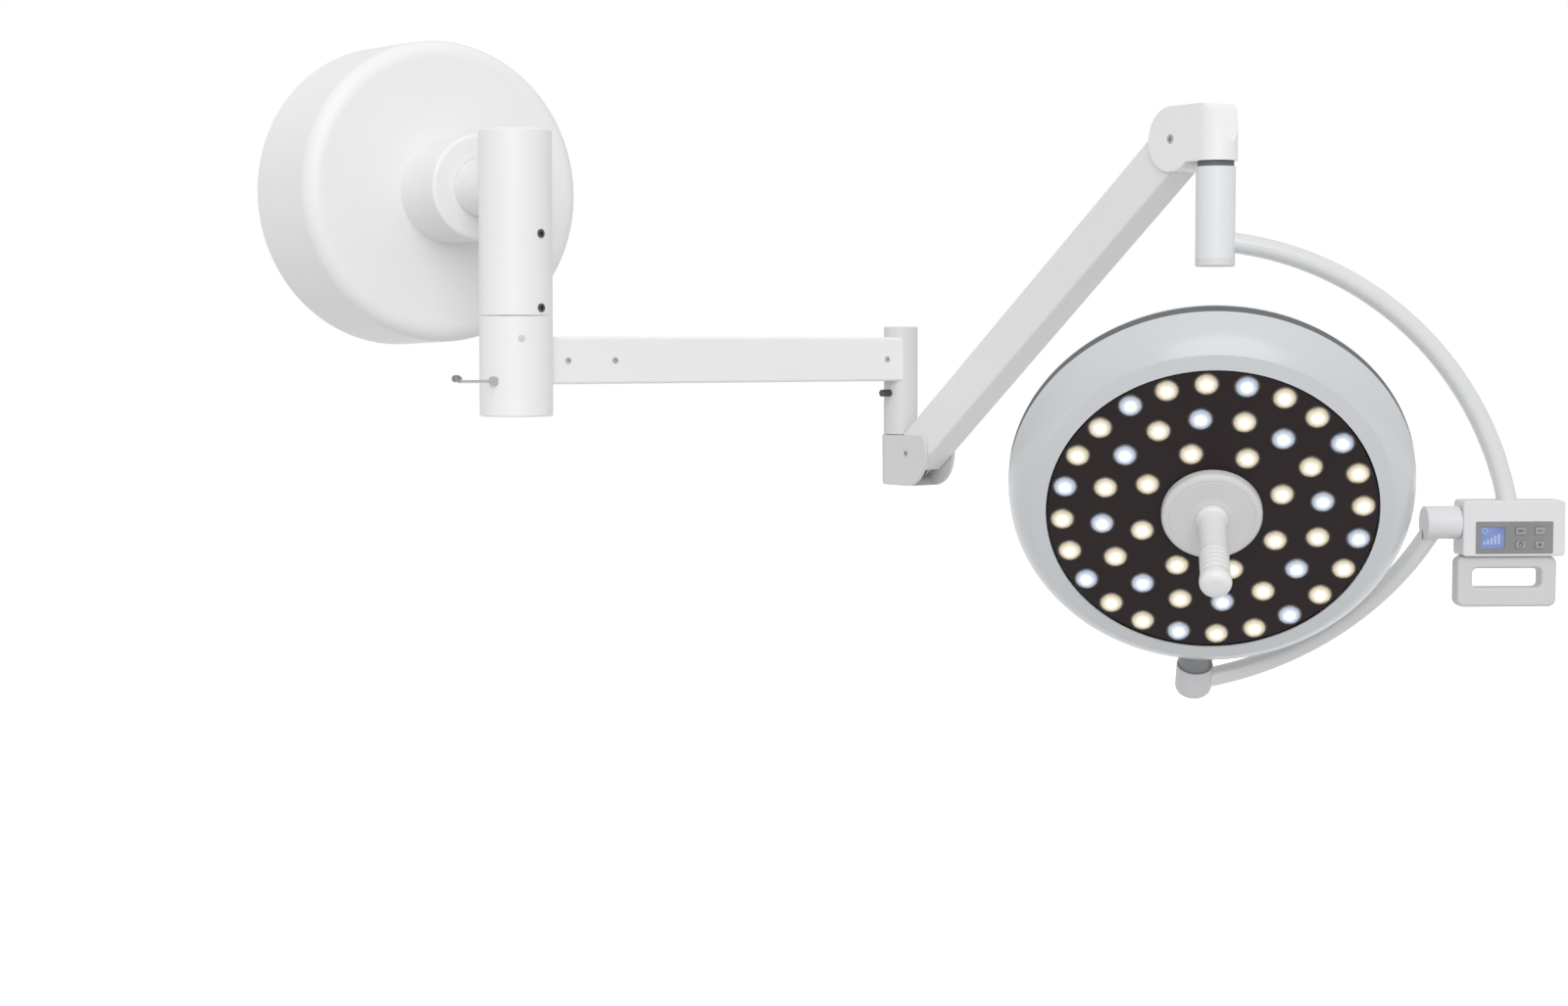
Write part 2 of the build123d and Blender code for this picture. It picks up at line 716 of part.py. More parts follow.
heel_x = -lower_pivot_offset - knuckle_half
with BuildPart() as lower_knuckle:
    with BuildSketch(lower_side):
        with BuildLine():
            FilletPolyline(
                (0, -lower_knuckle_radius),
                (heel_x, -lower_knuckle_radius),
                (heel_x, lower_pivot_drop),
                radius=lower_knuckle_heel_radius,
            )
            Polyline((heel_x, lower_pivot_drop), (0, lower_pivot_drop), (0, -lower_knuckle_radius))
        make_face()
        Circle(lower_knuckle_radius)
        with Locations((0, lower_pivot_drop)):
            Rectangle(sweep_reach, sweep_reach, align=(Align.CENTER, Align.MIN), mode=Mode.SUBTRACT)
    extrude(amount=knuckle_half, both=True)
    with BuildSketch(end_base.offset(lower_pivot_height - lower_knuckle_radius)):
        Circle(knuckle_half)
        Rectangle(knuckle_width, sweep_reach, align=(Align.CENTER, Align.MAX))
    extrude(amount=lower_knuckle_radius + lower_pivot_drop, mode=Mode.INTERSECT)
    with BuildSketch(lower_side):
        sweep_outline(0)
    extrude(amount=fork_half, both=True, mode=Mode.SUBTRACT)
    with BuildSketch(lower_side):
        Circle(tongue_radius)
        Rectangle(lower_pivot_offset - swing_spindle_radius, tongue_neck, align=(Align.MAX, Align.CENTER))
    extrude(amount=tongue_half, both=True)
    with BuildSketch(end_base.offset(knuckle_top)):
        Circle(swing_spindle_radius)
    extrude(amount=-swing_spindle_seat, mode=Mode.SUBTRACT)
    with BuildSketch(lower_side):
        Circle(pivot_pin_radius)
        with Locations((0, link_offset)):
            Circle(link_pin_radius)
        with Locations((0, -strut_offset)):
            Circle(strut_pin_radius)
    extrude(amount=tongue_half, both=True, mode=Mode.SUBTRACT)
    with BuildSketch(lower_side):
        Circle(pivot_pin_radius)
    extrude(amount=knuckle_half, both=True, mode=Mode.SUBTRACT)
lower_knuckle.part.label = "lower_knuckle"
export_step(lower_knuckle.part, "parts/lower_knuckle.step")

ear_outer = tongue_half + side_gap + ear_thickness
with BuildPart() as lower_pins:
    with BuildSketch(lower_side):
        Circle(pivot_pin_radius)
    extrude(amount=knuckle_half, both=True)
    with BuildSketch(lower_side):
        with Locations((0, link_offset)):
            Circle(link_pin_radius)
        with Locations((0, -strut_offset)):
            Circle(strut_pin_radius)
    extrude(amount=ear_outer, both=True)
    with BuildSketch(lower_side.offset(knuckle_half)):
        RegularPolygon(pivot_pin_radius / 2, 6)
    extrude(amount=-socket_depth, mode=Mode.SUBTRACT)
lower_pins.part.label = "lower_pins"
export_step(lower_pins.part, "parts/lower_pins.step")

# ================================================================ spring arm
inner_half = arm_half - spring_arm_wall
inner_side = spring_arm_section[0] / 2 - spring_arm_wall
pivot_ends = (0, spring_arm_length)
pivot_bush_radius = pivot_pin_radius + pivot_bush_wall
mouth_length = arm_half + arm_mouth
with BuildPart() as spring_arm_tube:
    with BuildSketch(arm_side):
        with Locations((spring_arm_length / 2, 0)):
            SlotCenterToCenter(spring_arm_length, 2 * arm_half)
    extrude(amount=spring_arm_section[0] / 2, both=True)
    fillet(
        spring_arm_tube.edges().filter_by(Axis((0, 0, 0), arm_run)), radius=spring_arm_edge
    )
    with BuildSketch(arm_side):
        with Locations((spring_arm_length / 2, 0)):
            Rectangle(spring_arm_length, 2 * inner_half)
        for x, direction in zip(pivot_ends, (Align.MAX, Align.MIN)):
            shift = arm_mouth if x == 0 else -arm_mouth
            with Locations((x + shift, 0)):
                Rectangle(mouth_length + joint_gap, 2 * arm_half + joint_gap, align=(direction, Align.CENTER))
    extrude(amount=inner_side, both=True, mode=Mode.SUBTRACT)
    with BuildSketch(arm_side):
        for x in pivot_ends:
            with Locations((x, 0)):
                Circle(pivot_bush_radius)
    extrude(amount=spring_arm_section[0] / 2, both=True, mode=Mode.SUBTRACT)
    lug_x = cylinder_start + cylinder_length + cylinder_lug_length / 2
    with BuildSketch(arm_side):
        with Locations((lug_x, strut_axis_offset)):
            Circle(cylinder_pin_radius)
    extrude(amount=inner_side + spring_arm_wall / 2, both=True, mode=Mode.SUBTRACT)
spring_arm_tube.part.label = "spring_arm_tube"
export_step(spring_arm_tube.part, "parts/spring_arm_tube.step")

bush_face = spring_arm_section[0] / 2
with BuildPart() as arm_bushes:
    for start, length in ((bush_face, -pivot_bush_length), (-bush_face, pivot_bush_length)):
        with BuildSketch(arm_side.offset(start)):
            for x in pivot_ends:
                with Locations((x, 0)):
                    Circle(pivot_bush_radius)
                    Circle(pivot_pin_radius + running_clearance, mode=Mode.SUBTRACT)
        extrude(amount=length)
arm_bushes.part.label = "arm_bushes"
export_step(arm_bushes.part, "parts/arm_bushes.step")

# The gas strut lies along the arm, under its centre line.
strut_base = Plane(
    origin=arm_side.from_local_coords((0, strut_axis_offset, 0)), x_dir=sideways, z_dir=arm_run
)
with BuildPart() as gas_cylinder:
    with BuildSketch(strut_base.offset(cylinder_start)):
        Circle(cylinder_radius)
    extrude(amount=cylinder_length)
    with BuildSketch(strut_base.offset(cylinder_start)):
        Circle(strut_rod_radius + running_clearance)
    extrude(amount=cylinder_length - 2 * cylinder_wall, mode=Mode.SUBTRACT)
    with BuildSketch(strut_base.offset(cylinder_start + 2 * cylinder_wall)):
        Circle(cylinder_radius - cylinder_wall)
    extrude(amount=cylinder_length - 4 * cylinder_wall, mode=Mode.SUBTRACT)
    with BuildSketch(strut_base.offset(cylinder_start + cylinder_length)):
        Rectangle(cylinder_radius, 2 * strut_ear_wall + 2 * cylinder_pin_radius)
    extrude(amount=cylinder_lug_length)
    with BuildSketch(arm_side):
        with Locations((lug_x, strut_axis_offset)):
            Circle(cylinder_pin_radius)
    extrude(amount=inner_side + spring_arm_wall / 2, both=True)
gas_cylinder.part.label = "gas_cylinder"
export_step(gas_cylinder.part, "parts/gas_cylinder.step")

strut_eye = -strut_offset * sin(radians(arm_elevation))
strut_ear_half = strut_slot_radius + strut_slot_travel / 2 + strut_ear_wall
strut_ear_end = strut_slot_radius + strut_ear_wall
ear_inner = tongue_half + side_gap
fork_end = strut_eye + fork_depth + fork_web
with BuildPart() as gas_rod:
    with BuildSketch(arm_side):
        with Locations((strut_eye - strut_ear_end, strut_axis_offset)):
            strut_fork_length = fork_end - strut_eye + strut_ear_end
            Rectangle(strut_fork_length, 2 * strut_ear_half, align=(Align.MIN, Align.CENTER))
    extrude(amount=ear_outer, both=True)
    with BuildSketch(arm_side):
        with Locations((strut_eye + fork_depth, 0)):
            Rectangle(sweep_reach, sweep_reach, align=(Align.MAX, Align.CENTER))
    extrude(amount=ear_inner, both=True, mode=Mode.SUBTRACT)
    with BuildSketch(arm_side):
        with Locations((strut_eye, strut_axis_offset)):
            SlotCenterToCenter(strut_slot_travel, 2 * strut_slot_radius, rotation=90)
    extrude(amount=ear_outer, both=True, mode=Mode.SUBTRACT)
    with BuildSketch(strut_base.offset(fork_end)):
        Circle(strut_rod_radius)
    extrude(amount=strut_rod_end - fork_end)
gas_rod.part.label = "gas_rod"
export_step(gas_rod.part, "parts/gas_rod.step")

link_origin = lower_side.from_local_coords((0, link_offset, 0))
link_side = Plane(origin=link_origin, x_dir=arm_run, z_dir=sideways)
link_base = Plane(origin=link_origin, x_dir=sideways, z_dir=arm_run)
fork_span = fork_depth + fork_web
with BuildPart() as levelling_link:
    with BuildSketch(link_base.offset(fork_span)):
        Circle(link_rod_radius)
    extrude(amount=spring_arm_length - 2 * fork_span)
    with BuildSketch(link_side):
        for x, align in zip(pivot_ends, (Align.MIN, Align.MAX)):
            with Locations((x, 0)):
                Circle(link_ear_radius)
                Rectangle(fork_span, 2 * link_ear_radius, align=(align, Align.CENTER))
    extrude(amount=ear_outer, both=True)
    with BuildSketch(link_side):
        for x, align in zip(pivot_ends, (Align.MIN, Align.MAX)):
            with Locations((x, 0)):
                Rectangle(fork_depth, sweep_reach, align=(align, Align.CENTER))
                Circle(link_ear_radius + cut_margin)
    extrude(amount=ear_inner, both=True, mode=Mode.SUBTRACT)
    with BuildSketch(link_side):
        Circle(link_pin_radius + running_clearance)
        with Locations((spring_arm_length, 0)):
            Circle(link_pin_radius + loose_pivot_gap)
    extrude(amount=ear_outer, both=True, mode=Mode.SUBTRACT)
levelling_link.part.label = "levelling_link"
export_step(levelling_link.part, "parts/levelling_link.step")

# ================================================================ top knuckle
nose_x = shaft_offset + upper_knuckle_nose_radius
slope_x = nose_x - nose_slope_run
swivel_bore_height = swivel_bore_top - upper_knuckle_bottom
plan_base = Plane(origin=(first_arm_length, shaft_y, upper_pivot.Z - upper_knuckle_radius))
with BuildPart() as top_knuckle:
    with BuildSketch(upper_side):
        with BuildLine():
            Polyline(
                (0, upper_knuckle_radius),
                (slope_x - upper_knuckle_radius + nose_slope_top, upper_knuckle_radius),
                (slope_x, nose_slope_top),
                (nose_x, nose_slope_bottom),
                (nose_x, upper_knuckle_bottom),
                (0, upper_knuckle_bottom),
                close=True,
            )
        make_face()
        Circle(upper_knuckle_radius)
    extrude(amount=knuckle_half, both=True)
    with BuildSketch(plan_base):
        Circle(upper_knuckle_nose_radius)
        Rectangle(knuckle_width, sweep_reach, align=(Align.CENTER, Align.MIN))
    extrude(amount=2 * upper_knuckle_radius, mode=Mode.INTERSECT)
    with BuildSketch(upper_side):
        sweep_outline(180)
    extrude(amount=fork_half, both=True, mode=Mode.SUBTRACT)
    with BuildSketch(upper_side):
        Circle(tongue_radius)
        Rectangle(shaft_offset - swivel_bore_radius, tongue_neck, align=(Align.MIN, Align.CENTER))
    extrude(amount=tongue_half, both=True)
    with BuildSketch(shaft_base.offset(shaft_gap)):
        Circle(swivel_bore_radius)
    extrude(amount=swivel_bore_height, mode=Mode.SUBTRACT)
    with BuildSketch(upper_side):
        Circle(pivot_pin_radius)
        with Locations((0, link_offset)):
            Circle(link_pin_radius)
    extrude(amount=tongue_half, both=True, mode=Mode.SUBTRACT)
    with BuildSketch(upper_side):
        Circle(pivot_pin_radius)
    extrude(amount=knuckle_half, both=True, mode=Mode.SUBTRACT)
top_knuckle.part.label = "top_knuckle"
export_step(top_knuckle.part, "parts/top_knuckle.step")

with BuildPart() as upper_pins:
    with BuildSketch(upper_side):
        Circle(pivot_pin_radius)
    extrude(amount=knuckle_half, both=True)
    with BuildSketch(upper_side):
        with Locations((0, link_offset)):
            Circle(link_pin_radius)
    extrude(amount=ear_outer, both=True)
    with BuildSketch(upper_side.offset(knuckle_half)):
        RegularPolygon(pivot_pin_radius / 2, 6)
    extrude(amount=-socket_depth, mode=Mode.SUBTRACT)
upper_pins.part.label = "upper_pins"
export_step(upper_pins.part, "parts/upper_pins.step")

with BuildPart() as swivel_bush:
    with BuildSketch(shaft_base.offset(shaft_gap)):
        Circle(swivel_bore_radius)
        Circle(swivel_spindle_radius + running_clearance, mode=Mode.SUBTRACT)
    extrude(amount=swivel_bore_height)
swivel_bush.part.label = "swivel_bush"
export_step(swivel_bush.part, "parts/swivel_bush.step")

# ================================================================ drop shaft
shaft_bore = shaft_radius - shaft_wall
spindle_reach = shaft_gap + swivel_bore_height - joint_gap
with BuildPart() as drop_shaft:
    with BuildSketch(shaft_base):
        Circle(shaft_radius)
        Circle(shaft_bore, mode=Mode.SUBTRACT)
    extrude(amount=shaft_cap_height - shaft_length)
drop_shaft.part.label = "drop_shaft"
export_step(drop_shaft.part, "parts/drop_shaft.step")

with BuildPart() as shaft_spindle:
    with BuildSketch(shaft_base.offset(-swivel_spindle_foot)):
        Circle(swivel_spindle_radius)
    extrude(amount=swivel_spindle_foot + spindle_reach)
    with BuildSketch(shaft_base.offset(-swivel_flange_height)):
        Circle(shaft_bore)
    extrude(amount=swivel_flange_height)
    with BuildSketch(shaft_base.offset(-swivel_spindle_foot)):
        Circle(shaft_bore)
    extrude(amount=swivel_flange_height)
    with BuildSketch(shaft_base.offset(-swivel_spindle_foot)):
        Circle(swivel_spindle_bore)
    extrude(amount=swivel_spindle_foot + spindle_reach, mode=Mode.SUBTRACT)
shaft_spindle.part.label = "shaft_spindle"
export_step(shaft_spindle.part, "parts/shaft_spindle.step")

with BuildPart() as swivel_seal:
    with BuildSketch(shaft_base):
        Circle(seal_radius)
        Circle(swivel_spindle_radius + slip_gap, mode=Mode.SUBTRACT)
    extrude(amount=seal_height)
swivel_seal.part.label = "swivel_seal"
export_step(swivel_seal.part, "parts/swivel_seal.step")

with BuildPart() as shaft_end_cap:
    with BuildSketch(shaft_base.offset(-shaft_length)):
        Circle(shaft_radius)
    extrude(amount=shaft_cap_height)
    chamfer(shaft_end_cap.faces().sort_by(Axis.Z)[0].edges(), length=cap_edge)
    with BuildSketch(shaft_base.offset(shaft_cap_height - shaft_length)):
        Circle(shaft_bore)
        Circle(shaft_bore - shaft_wall, mode=Mode.SUBTRACT)
    extrude(amount=cap_plug_depth)
shaft_end_cap.part.label = "shaft_end_cap"
export_step(shaft_end_cap.part, "parts/shaft_end_cap.step")


# ---------------------------------------------------------------- outer arc
arc_start = degrees(acos((shaft_bore - arc_centre[0]) / arc_radius))
arc_end = degrees(asin((-box_drop - arc_tube_radius - arc_centre[1]) / arc_radius))
with BuildPart() as outer_arc:
    with BuildLine(arc_plane):
        arc_line = CenterArc(arc_centre, arc_radius, arc_start, arc_end - arc_start)
    with BuildSketch(Plane(origin=arc_line @ 0, z_dir=arc_line % 0)):
        Circle(arc_tube_radius)
        Circle(arc_tube_radius - arc_tube_wall, mode=Mode.SUBTRACT)
    sweep(path=arc_line)
    with BuildSketch(shaft_base):
        Circle(shaft_radius)
    extrude(amount=-shaft_length, mode=Mode.SUBTRACT)
    with BuildSketch(arc_plane):
        with Locations((box_near, -box_drop)):
            Rectangle(box_width, box_height, align=(Align.MIN, Align.MAX))
    extrude(amount=box_depth, both=True, mode=Mode.SUBTRACT)
outer_arc.part.label = "outer_arc"
export_step(outer_arc.part, "parts/outer_arc.step")

# ---------------------------------------------------------------- control box
box_centre = (box_near + box_width / 2, -box_drop - box_height / 2)
panel_centre = (box_centre[0], -box_drop - box_height + panel_margin + panel_height / 2)
box_face = arc_plane.offset(box_depth / 2)
box_back_face = arc_plane.offset(-box_depth / 2)
axle_face = tilt_across.offset(box_near)
with BuildPart() as control_box:
    with BuildSketch(box_back_face):
        with Locations(box_centre):
            RectangleRounded(box_width, box_height, box_corner)
    extrude(amount=box_depth)
    fillet(control_box.faces().sort_by(Axis(shaft_top, arc_plane.z_dir))[-1].edges(), radius=box_edge)
    with BuildSketch(box_back_face):
        with Locations(box_centre):
            RectangleRounded(box_width - 2 * box_wall, box_height - 2 * box_wall, box_corner - box_wall)
    extrude(amount=box_depth - box_wall, mode=Mode.SUBTRACT)
    with BuildSketch(box_face):
        with Locations(panel_centre):
            RectangleRounded(panel_width, panel_height, panel_corner)
    extrude(amount=-panel_thickness, mode=Mode.SUBTRACT)
    with BuildSketch(box_face):
        with Locations(panel_centre):
            Rectangle(panel_width - 2 * panel_lip, panel_height - 2 * panel_lip)
    extrude(amount=-box_wall, mode=Mode.SUBTRACT)
    with BuildSketch(axle_face):
        Circle(tilt_axle_radius)
    extrude(amount=box_wall, mode=Mode.SUBTRACT)
control_box.part.label = "control_box"
export_step(control_box.part, "parts/control_box.step")

cover_gap = box_wall + slip_gap
with BuildPart() as box_back_cover:
    with BuildSketch(box_back_face):
        with Locations(box_centre):
            RectangleRounded(box_width - 2 * cover_gap, box_height - 2 * cover_gap, box_corner)
    extrude(amount=back_cover_thickness)
box_back_cover.part.label = "box_back_cover"
export_step(box_back_cover.part, "parts/box_back_cover.step")

lcd_width, lcd_height, lcd_depth = lcd_size
panel_left = panel_centre[0] - panel_width / 2
lcd_centre = (panel_left + lcd_inset + lcd_width / 2, panel_centre[1])
keypad_centre = (panel_left + panel_width - key_centre_from_right, panel_centre[1])
key_hole = (key_size[0] + 2 * key_clearance, key_size[1] + 2 * key_clearance)
with BuildPart() as display_panel:
    with BuildSketch(box_face):
        with Locations(panel_centre):
            RectangleRounded(panel_width, panel_height, panel_corner)
        with Locations(lcd_centre):
            Rectangle(lcd_width - 2 * window_border, lcd_height - 2 * window_border, mode=Mode.SUBTRACT)
        with Locations(keypad_centre):
            with GridLocations(*key_pitch, 2, 2):
                RectangleRounded(*key_hole, key_corner, mode=Mode.SUBTRACT)
    extrude(amount=-panel_thickness)
display_panel.part.label = "display_panel"
export_step(display_panel.part, "parts/display_panel.step")

with BuildPart() as lcd:
    with BuildSketch(box_face.offset(-panel_thickness)):
        with Locations(lcd_centre):
            Rectangle(lcd_width, lcd_height)
    extrude(amount=-lcd_depth)
lcd.part.label = "lcd"
export_step(lcd.part, "parts/lcd.step")

board_width, board_height, board_thickness = board_size
with BuildPart() as circuit_board:
    with BuildSketch(box_face.offset(-panel_thickness - lcd_depth)):
        with Locations(panel_centre):
            Rectangle(board_width, board_height)
    extrude(amount=-board_thickness)
circuit_board.part.label = "circuit_board"
export_step(circuit_board.part, "parts/circuit_board.step")

key_width, key_height, key_depth = key_size
key_spots = GridLocations(*key_pitch, 2, 2).local_locations
for key_name, spot in zip(key_names, key_spots):
    with BuildPart() as key:
        with BuildSketch(box_face.offset(key_proud)):
            with Locations(Location((*keypad_centre, 0)) * spot):
                RectangleRounded(key_width, key_height, key_corner)
        extrude(amount=-key_depth)
    key.part.label = key_name
    export_step(key.part, f"parts/{key_name}.step")

handle_centre = (box_centre[0] + handle_shift, -box_drop - box_height - handle_height / 2)
slot_centre = (handle_centre[0], -box_drop - box_height - handle_slot_drop - handle_slot[1] / 2)
with BuildPart() as handle_frame:
    with BuildSketch(arc_plane):
        with Locations(handle_centre):
            RectangleRounded(handle_width, handle_height, handle_corner)
        with Locations(slot_centre):
            RectangleRounded(*handle_slot, handle_slot_corner, mode=Mode.SUBTRACT)
    extrude(amount=handle_depth / 2, both=True)
    handle_faces = handle_frame.faces().sort_by(Axis(shaft_top, arc_plane.z_dir))
    fillet(handle_faces[0].edges() + handle_faces[-1].edges(), radius=handle_edge)
handle_frame.part.label = "handle_frame"
export_step(handle_frame.part, "parts/handle_frame.step")

hub_length = box_near - side_gap - yoke_hub_inner
axle_start = yoke_hub_inner + yoke_hub_end_wall + joint_gap
with BuildPart() as tilt_axle:
    with BuildSketch(tilt_across.offset(axle_start)):
        Circle(tilt_axle_radius)
    extrude(amount=box_near + box_wall - axle_start)
    with BuildSketch(axle_face.offset(box_wall)):
        Circle(tilt_axle_head_radius)
    extrude(amount=tilt_axle_depth)
tilt_axle.part.label = "tilt_axle"
export_step(tilt_axle.part, "parts/tilt_axle.step")

# ================================================================ yoke
with BuildPart() as yoke_hub:
    with BuildSketch(tilt_across.offset(yoke_hub_inner)):
        Circle(yoke_hub_radius)
    extrude(amount=hub_length)
    fillet(yoke_hub.edges().filter_by(GeomType.CIRCLE), radius=cap_edge)
    with BuildSketch(tilt_across.offset(yoke_hub_inner + yoke_hub_end_wall)):
        Circle(tilt_axle_radius + running_clearance)
    extrude(amount=hub_length, mode=Mode.SUBTRACT)
yoke_hub.part.label = "yoke_hub"
export_step(yoke_hub.part, "parts/yoke_hub.step")

yoke_start = -degrees(acos((journal_radius - yoke_arc_centre[0]) / yoke_arc_radius))
yoke_end = -degrees(asin((yoke_arc_centre[1] + yoke_hub_radius / 2) / yoke_arc_radius))
with BuildPart() as yoke_arc:
    with BuildLine(yoke_plane):
        yoke_line = CenterArc(yoke_arc_centre, yoke_arc_radius, yoke_start, yoke_end - yoke_start)
    with BuildSketch(Plane(origin=yoke_line @ 0, z_dir=yoke_line % 0)):
        Circle(yoke_tube_radius)
        Circle(yoke_tube_radius - yoke_tube_wall, mode=Mode.SUBTRACT)
    sweep(path=yoke_line)
    with BuildSketch(tilt_across.offset(yoke_hub_inner - joint_gap)):
        Circle(yoke_hub_radius)
    extrude(amount=hub_length, mode=Mode.SUBTRACT)
    with BuildSketch(journal_plane.offset(socket_top)):
        Circle(socket_radius)
    extrude(amount=socket_bottom - socket_top, mode=Mode.SUBTRACT)
yoke_arc.part.label = "yoke_arc"
export_step(yoke_arc.part, "parts/yoke_arc.step")

with BuildPart() as yoke_socket:
    with BuildSketch(journal_plane.offset(socket_top)):
        Circle(socket_radius)
    extrude(amount=socket_bottom - socket_top)
    fillet(yoke_socket.edges().sort_by(Axis(tilt_centre, journal_plane.z_dir))[-1], radius=socket_round)
    with BuildSketch(journal_plane.offset(socket_top)):
        Circle(journal_radius + running_clearance)
    extrude(amount=socket_bore_bottom - socket_top, mode=Mode.SUBTRACT)
yoke_socket.part.label = "yoke_socket"
export_step(yoke_socket.part, "parts/yoke_socket.step")


# ================================================================ lamp head
def dome_line(inset):
    """Half the dome's profile from its back to the rim, set in from the outside."""
    shoulder = (head_dome_shoulder[0] - inset, head_dome_shoulder[1] + inset)
    back = TangentArc((0, inset - head_dome_depth), shoulder, tangent=(1, 0))
    return TangentArc(shoulder, (head_radius - inset, gasket_bottom), tangent=back % 1)


def bezel_line(inset):
    """The bezel's profile from the rim to its front lip, set in from the outside."""
    bulge = (bezel_bulge[0] - inset, bezel_bulge[1])
    shoulder = (bezel_shoulder[0] - inset, bezel_shoulder[1] - inset)
    ThreePointArc((head_radius - inset, gasket_top), bulge, shoulder)
    return Line(shoulder, (bezel_lip[0], bezel_lip[1] - inset))


with BuildPart() as head_journal:
    with BuildSketch(journal_plane.offset(head_radius - head_rise - journal_depth)):
        Circle(journal_collar_radius)
    extrude(amount=socket_top - side_gap - head_radius + head_rise + journal_depth)
    with BuildSketch(journal_plane.offset(head_radius - head_rise - journal_depth)):
        Circle(journal_radius)
    extrude(amount=journal_end - head_radius + head_rise + journal_depth)
    with BuildSketch(head_section):
        with BuildLine():
            dome_line(0)
            Line((head_radius, gasket_bottom), (head_radius, gasket_top))
            bezel_line(0)
            Polyline(bezel_lip, (0, bezel_lip[1]), (0, -head_dome_depth))
        make_face()
    revolve(axis=head_axis, mode=Mode.SUBTRACT)
head_journal.part.label = "head_journal"
export_step(head_journal.part, "parts/head_journal.step")

with BuildPart() as rear_dome:
    with BuildSketch(head_section):
        with BuildLine():
            dome_line(0)
            dome_line(head_wall)
            Line((0, -head_dome_depth), (0, head_wall - head_dome_depth))
            Line((head_radius, gasket_bottom), (head_radius - head_wall, gasket_bottom))
        make_face()
    revolve(axis=head_axis)
rear_dome.part.label = "rear_dome"
export_step(rear_dome.part, "parts/rear_dome.step")

with BuildPart() as rim_gasket:
    with BuildSketch(head_plane.offset(gasket_bottom)):
        Circle(head_radius)
        Circle(head_radius - gasket_depth, mode=Mode.SUBTRACT)
    extrude(amount=gasket_top - gasket_bottom)
rim_gasket.part.label = "rim_gasket"
export_step(rim_gasket.part, "parts/rim_gasket.step")

with BuildPart() as bezel_ring:
    with BuildSketch(head_section):
        with BuildLine():
            bezel_line(0)
            bezel_line(head_wall)
            Line((head_radius, gasket_top), (head_radius - head_wall, gasket_top))
            Line(bezel_lip, (bezel_lip[0], bezel_lip[1] - head_wall))
        make_face()
    revolve(axis=head_axis)
bezel_ring.part.label = "bezel_ring"
export_step(bezel_ring.part, "parts/bezel_ring.step")


def lens_spots(colour):
    """The places of the lamps of one colour, ring by ring."""
    spots = []
    for radius, count, start, pattern in rings:
        for step, spot in enumerate(PolarLocations(radius, count, start_angle=start).local_locations):
            if pattern[step % len(pattern)] == colour:
                spots.append(spot.position)
    return spots


all_spots = lens_spots("w") + lens_spots("c")
with BuildPart() as lens_panel:
    with BuildSketch(head_plane.offset(panel_back)):
        Circle(panel_radius)
        with Locations(*all_spots):
            Circle(lens_radius + lens_clearance, mode=Mode.SUBTRACT)
    extrude(amount=panel_front - panel_back)
lens_panel.part.label = "lens_panel"
export_step(lens_panel.part, "parts/lens_panel.step")

for colour, lens_name in (("w", "warm_lenses"), ("c", "cool_lenses")):
    with BuildPart() as lenses:
        with BuildSketch(head_plane.offset(lens_back)):
            with Locations(*lens_spots(colour)):
                Circle(lens_radius)
        extrude(amount=lens_front - lens_back)
        fillet(lenses.faces().group_by(head_axis)[-1].edges(), radius=lens_round)
    lenses.part.label = lens_name
    export_step(lenses.part, f"parts/{lens_name}.step")

with BuildPart() as led_board:
    with BuildSketch(head_plane.offset(led_board_back)):
        Circle(led_board_radius)
    extrude(amount=led_board_thickness)
    with BuildSketch(head_plane.offset(led_board_back)):
        with PolarLocations(led_spacer_circle, led_spacer_count):
            Circle(led_spacer_radius)
    extrude(amount=panel_back - led_board_back)
led_board.part.label = "led_board"
export_step(led_board.part, "parts/led_board.step")

with BuildPart() as centre_disc:
    with BuildSketch(head_plane.offset(panel_front)):
        Circle(disc_radius)
    extrude(amount=disc_thickness)
    fillet(centre_disc.faces().sort_by(head_axis)[-1].edges(), radius=disc_round)
    with BuildSketch(head_plane.offset(panel_front + disc_thickness)):
        Circle(spigot_radius)
    extrude(amount=spigot_length)
centre_disc.part.label = "centre_disc"
export_step(centre_disc.part, "parts/centre_disc.step")

handle_seat = panel_front + disc_thickness + side_gap
with BuildPart() as sterile_handle:
    with BuildSketch(head_plane.offset(handle_seat)):
        Circle(handle_radius)
    extrude(amount=handle_length)
    fillet(sterile_handle.faces().sort_by(head_axis)[-1].edges(), radius=handle_round)
    with BuildSketch(head_plane.offset(handle_seat)):
        Circle(spigot_radius + running_clearance)
    extrude(amount=handle_bore_depth, mode=Mode.SUBTRACT)
sterile_handle.part.label = "sterile_handle"
export_step(sterile_handle.part, "parts/sterile_handle.step")
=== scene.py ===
import bpy
import json
from math import cos, pi, radians, sin
from mathutils import Matrix, Vector


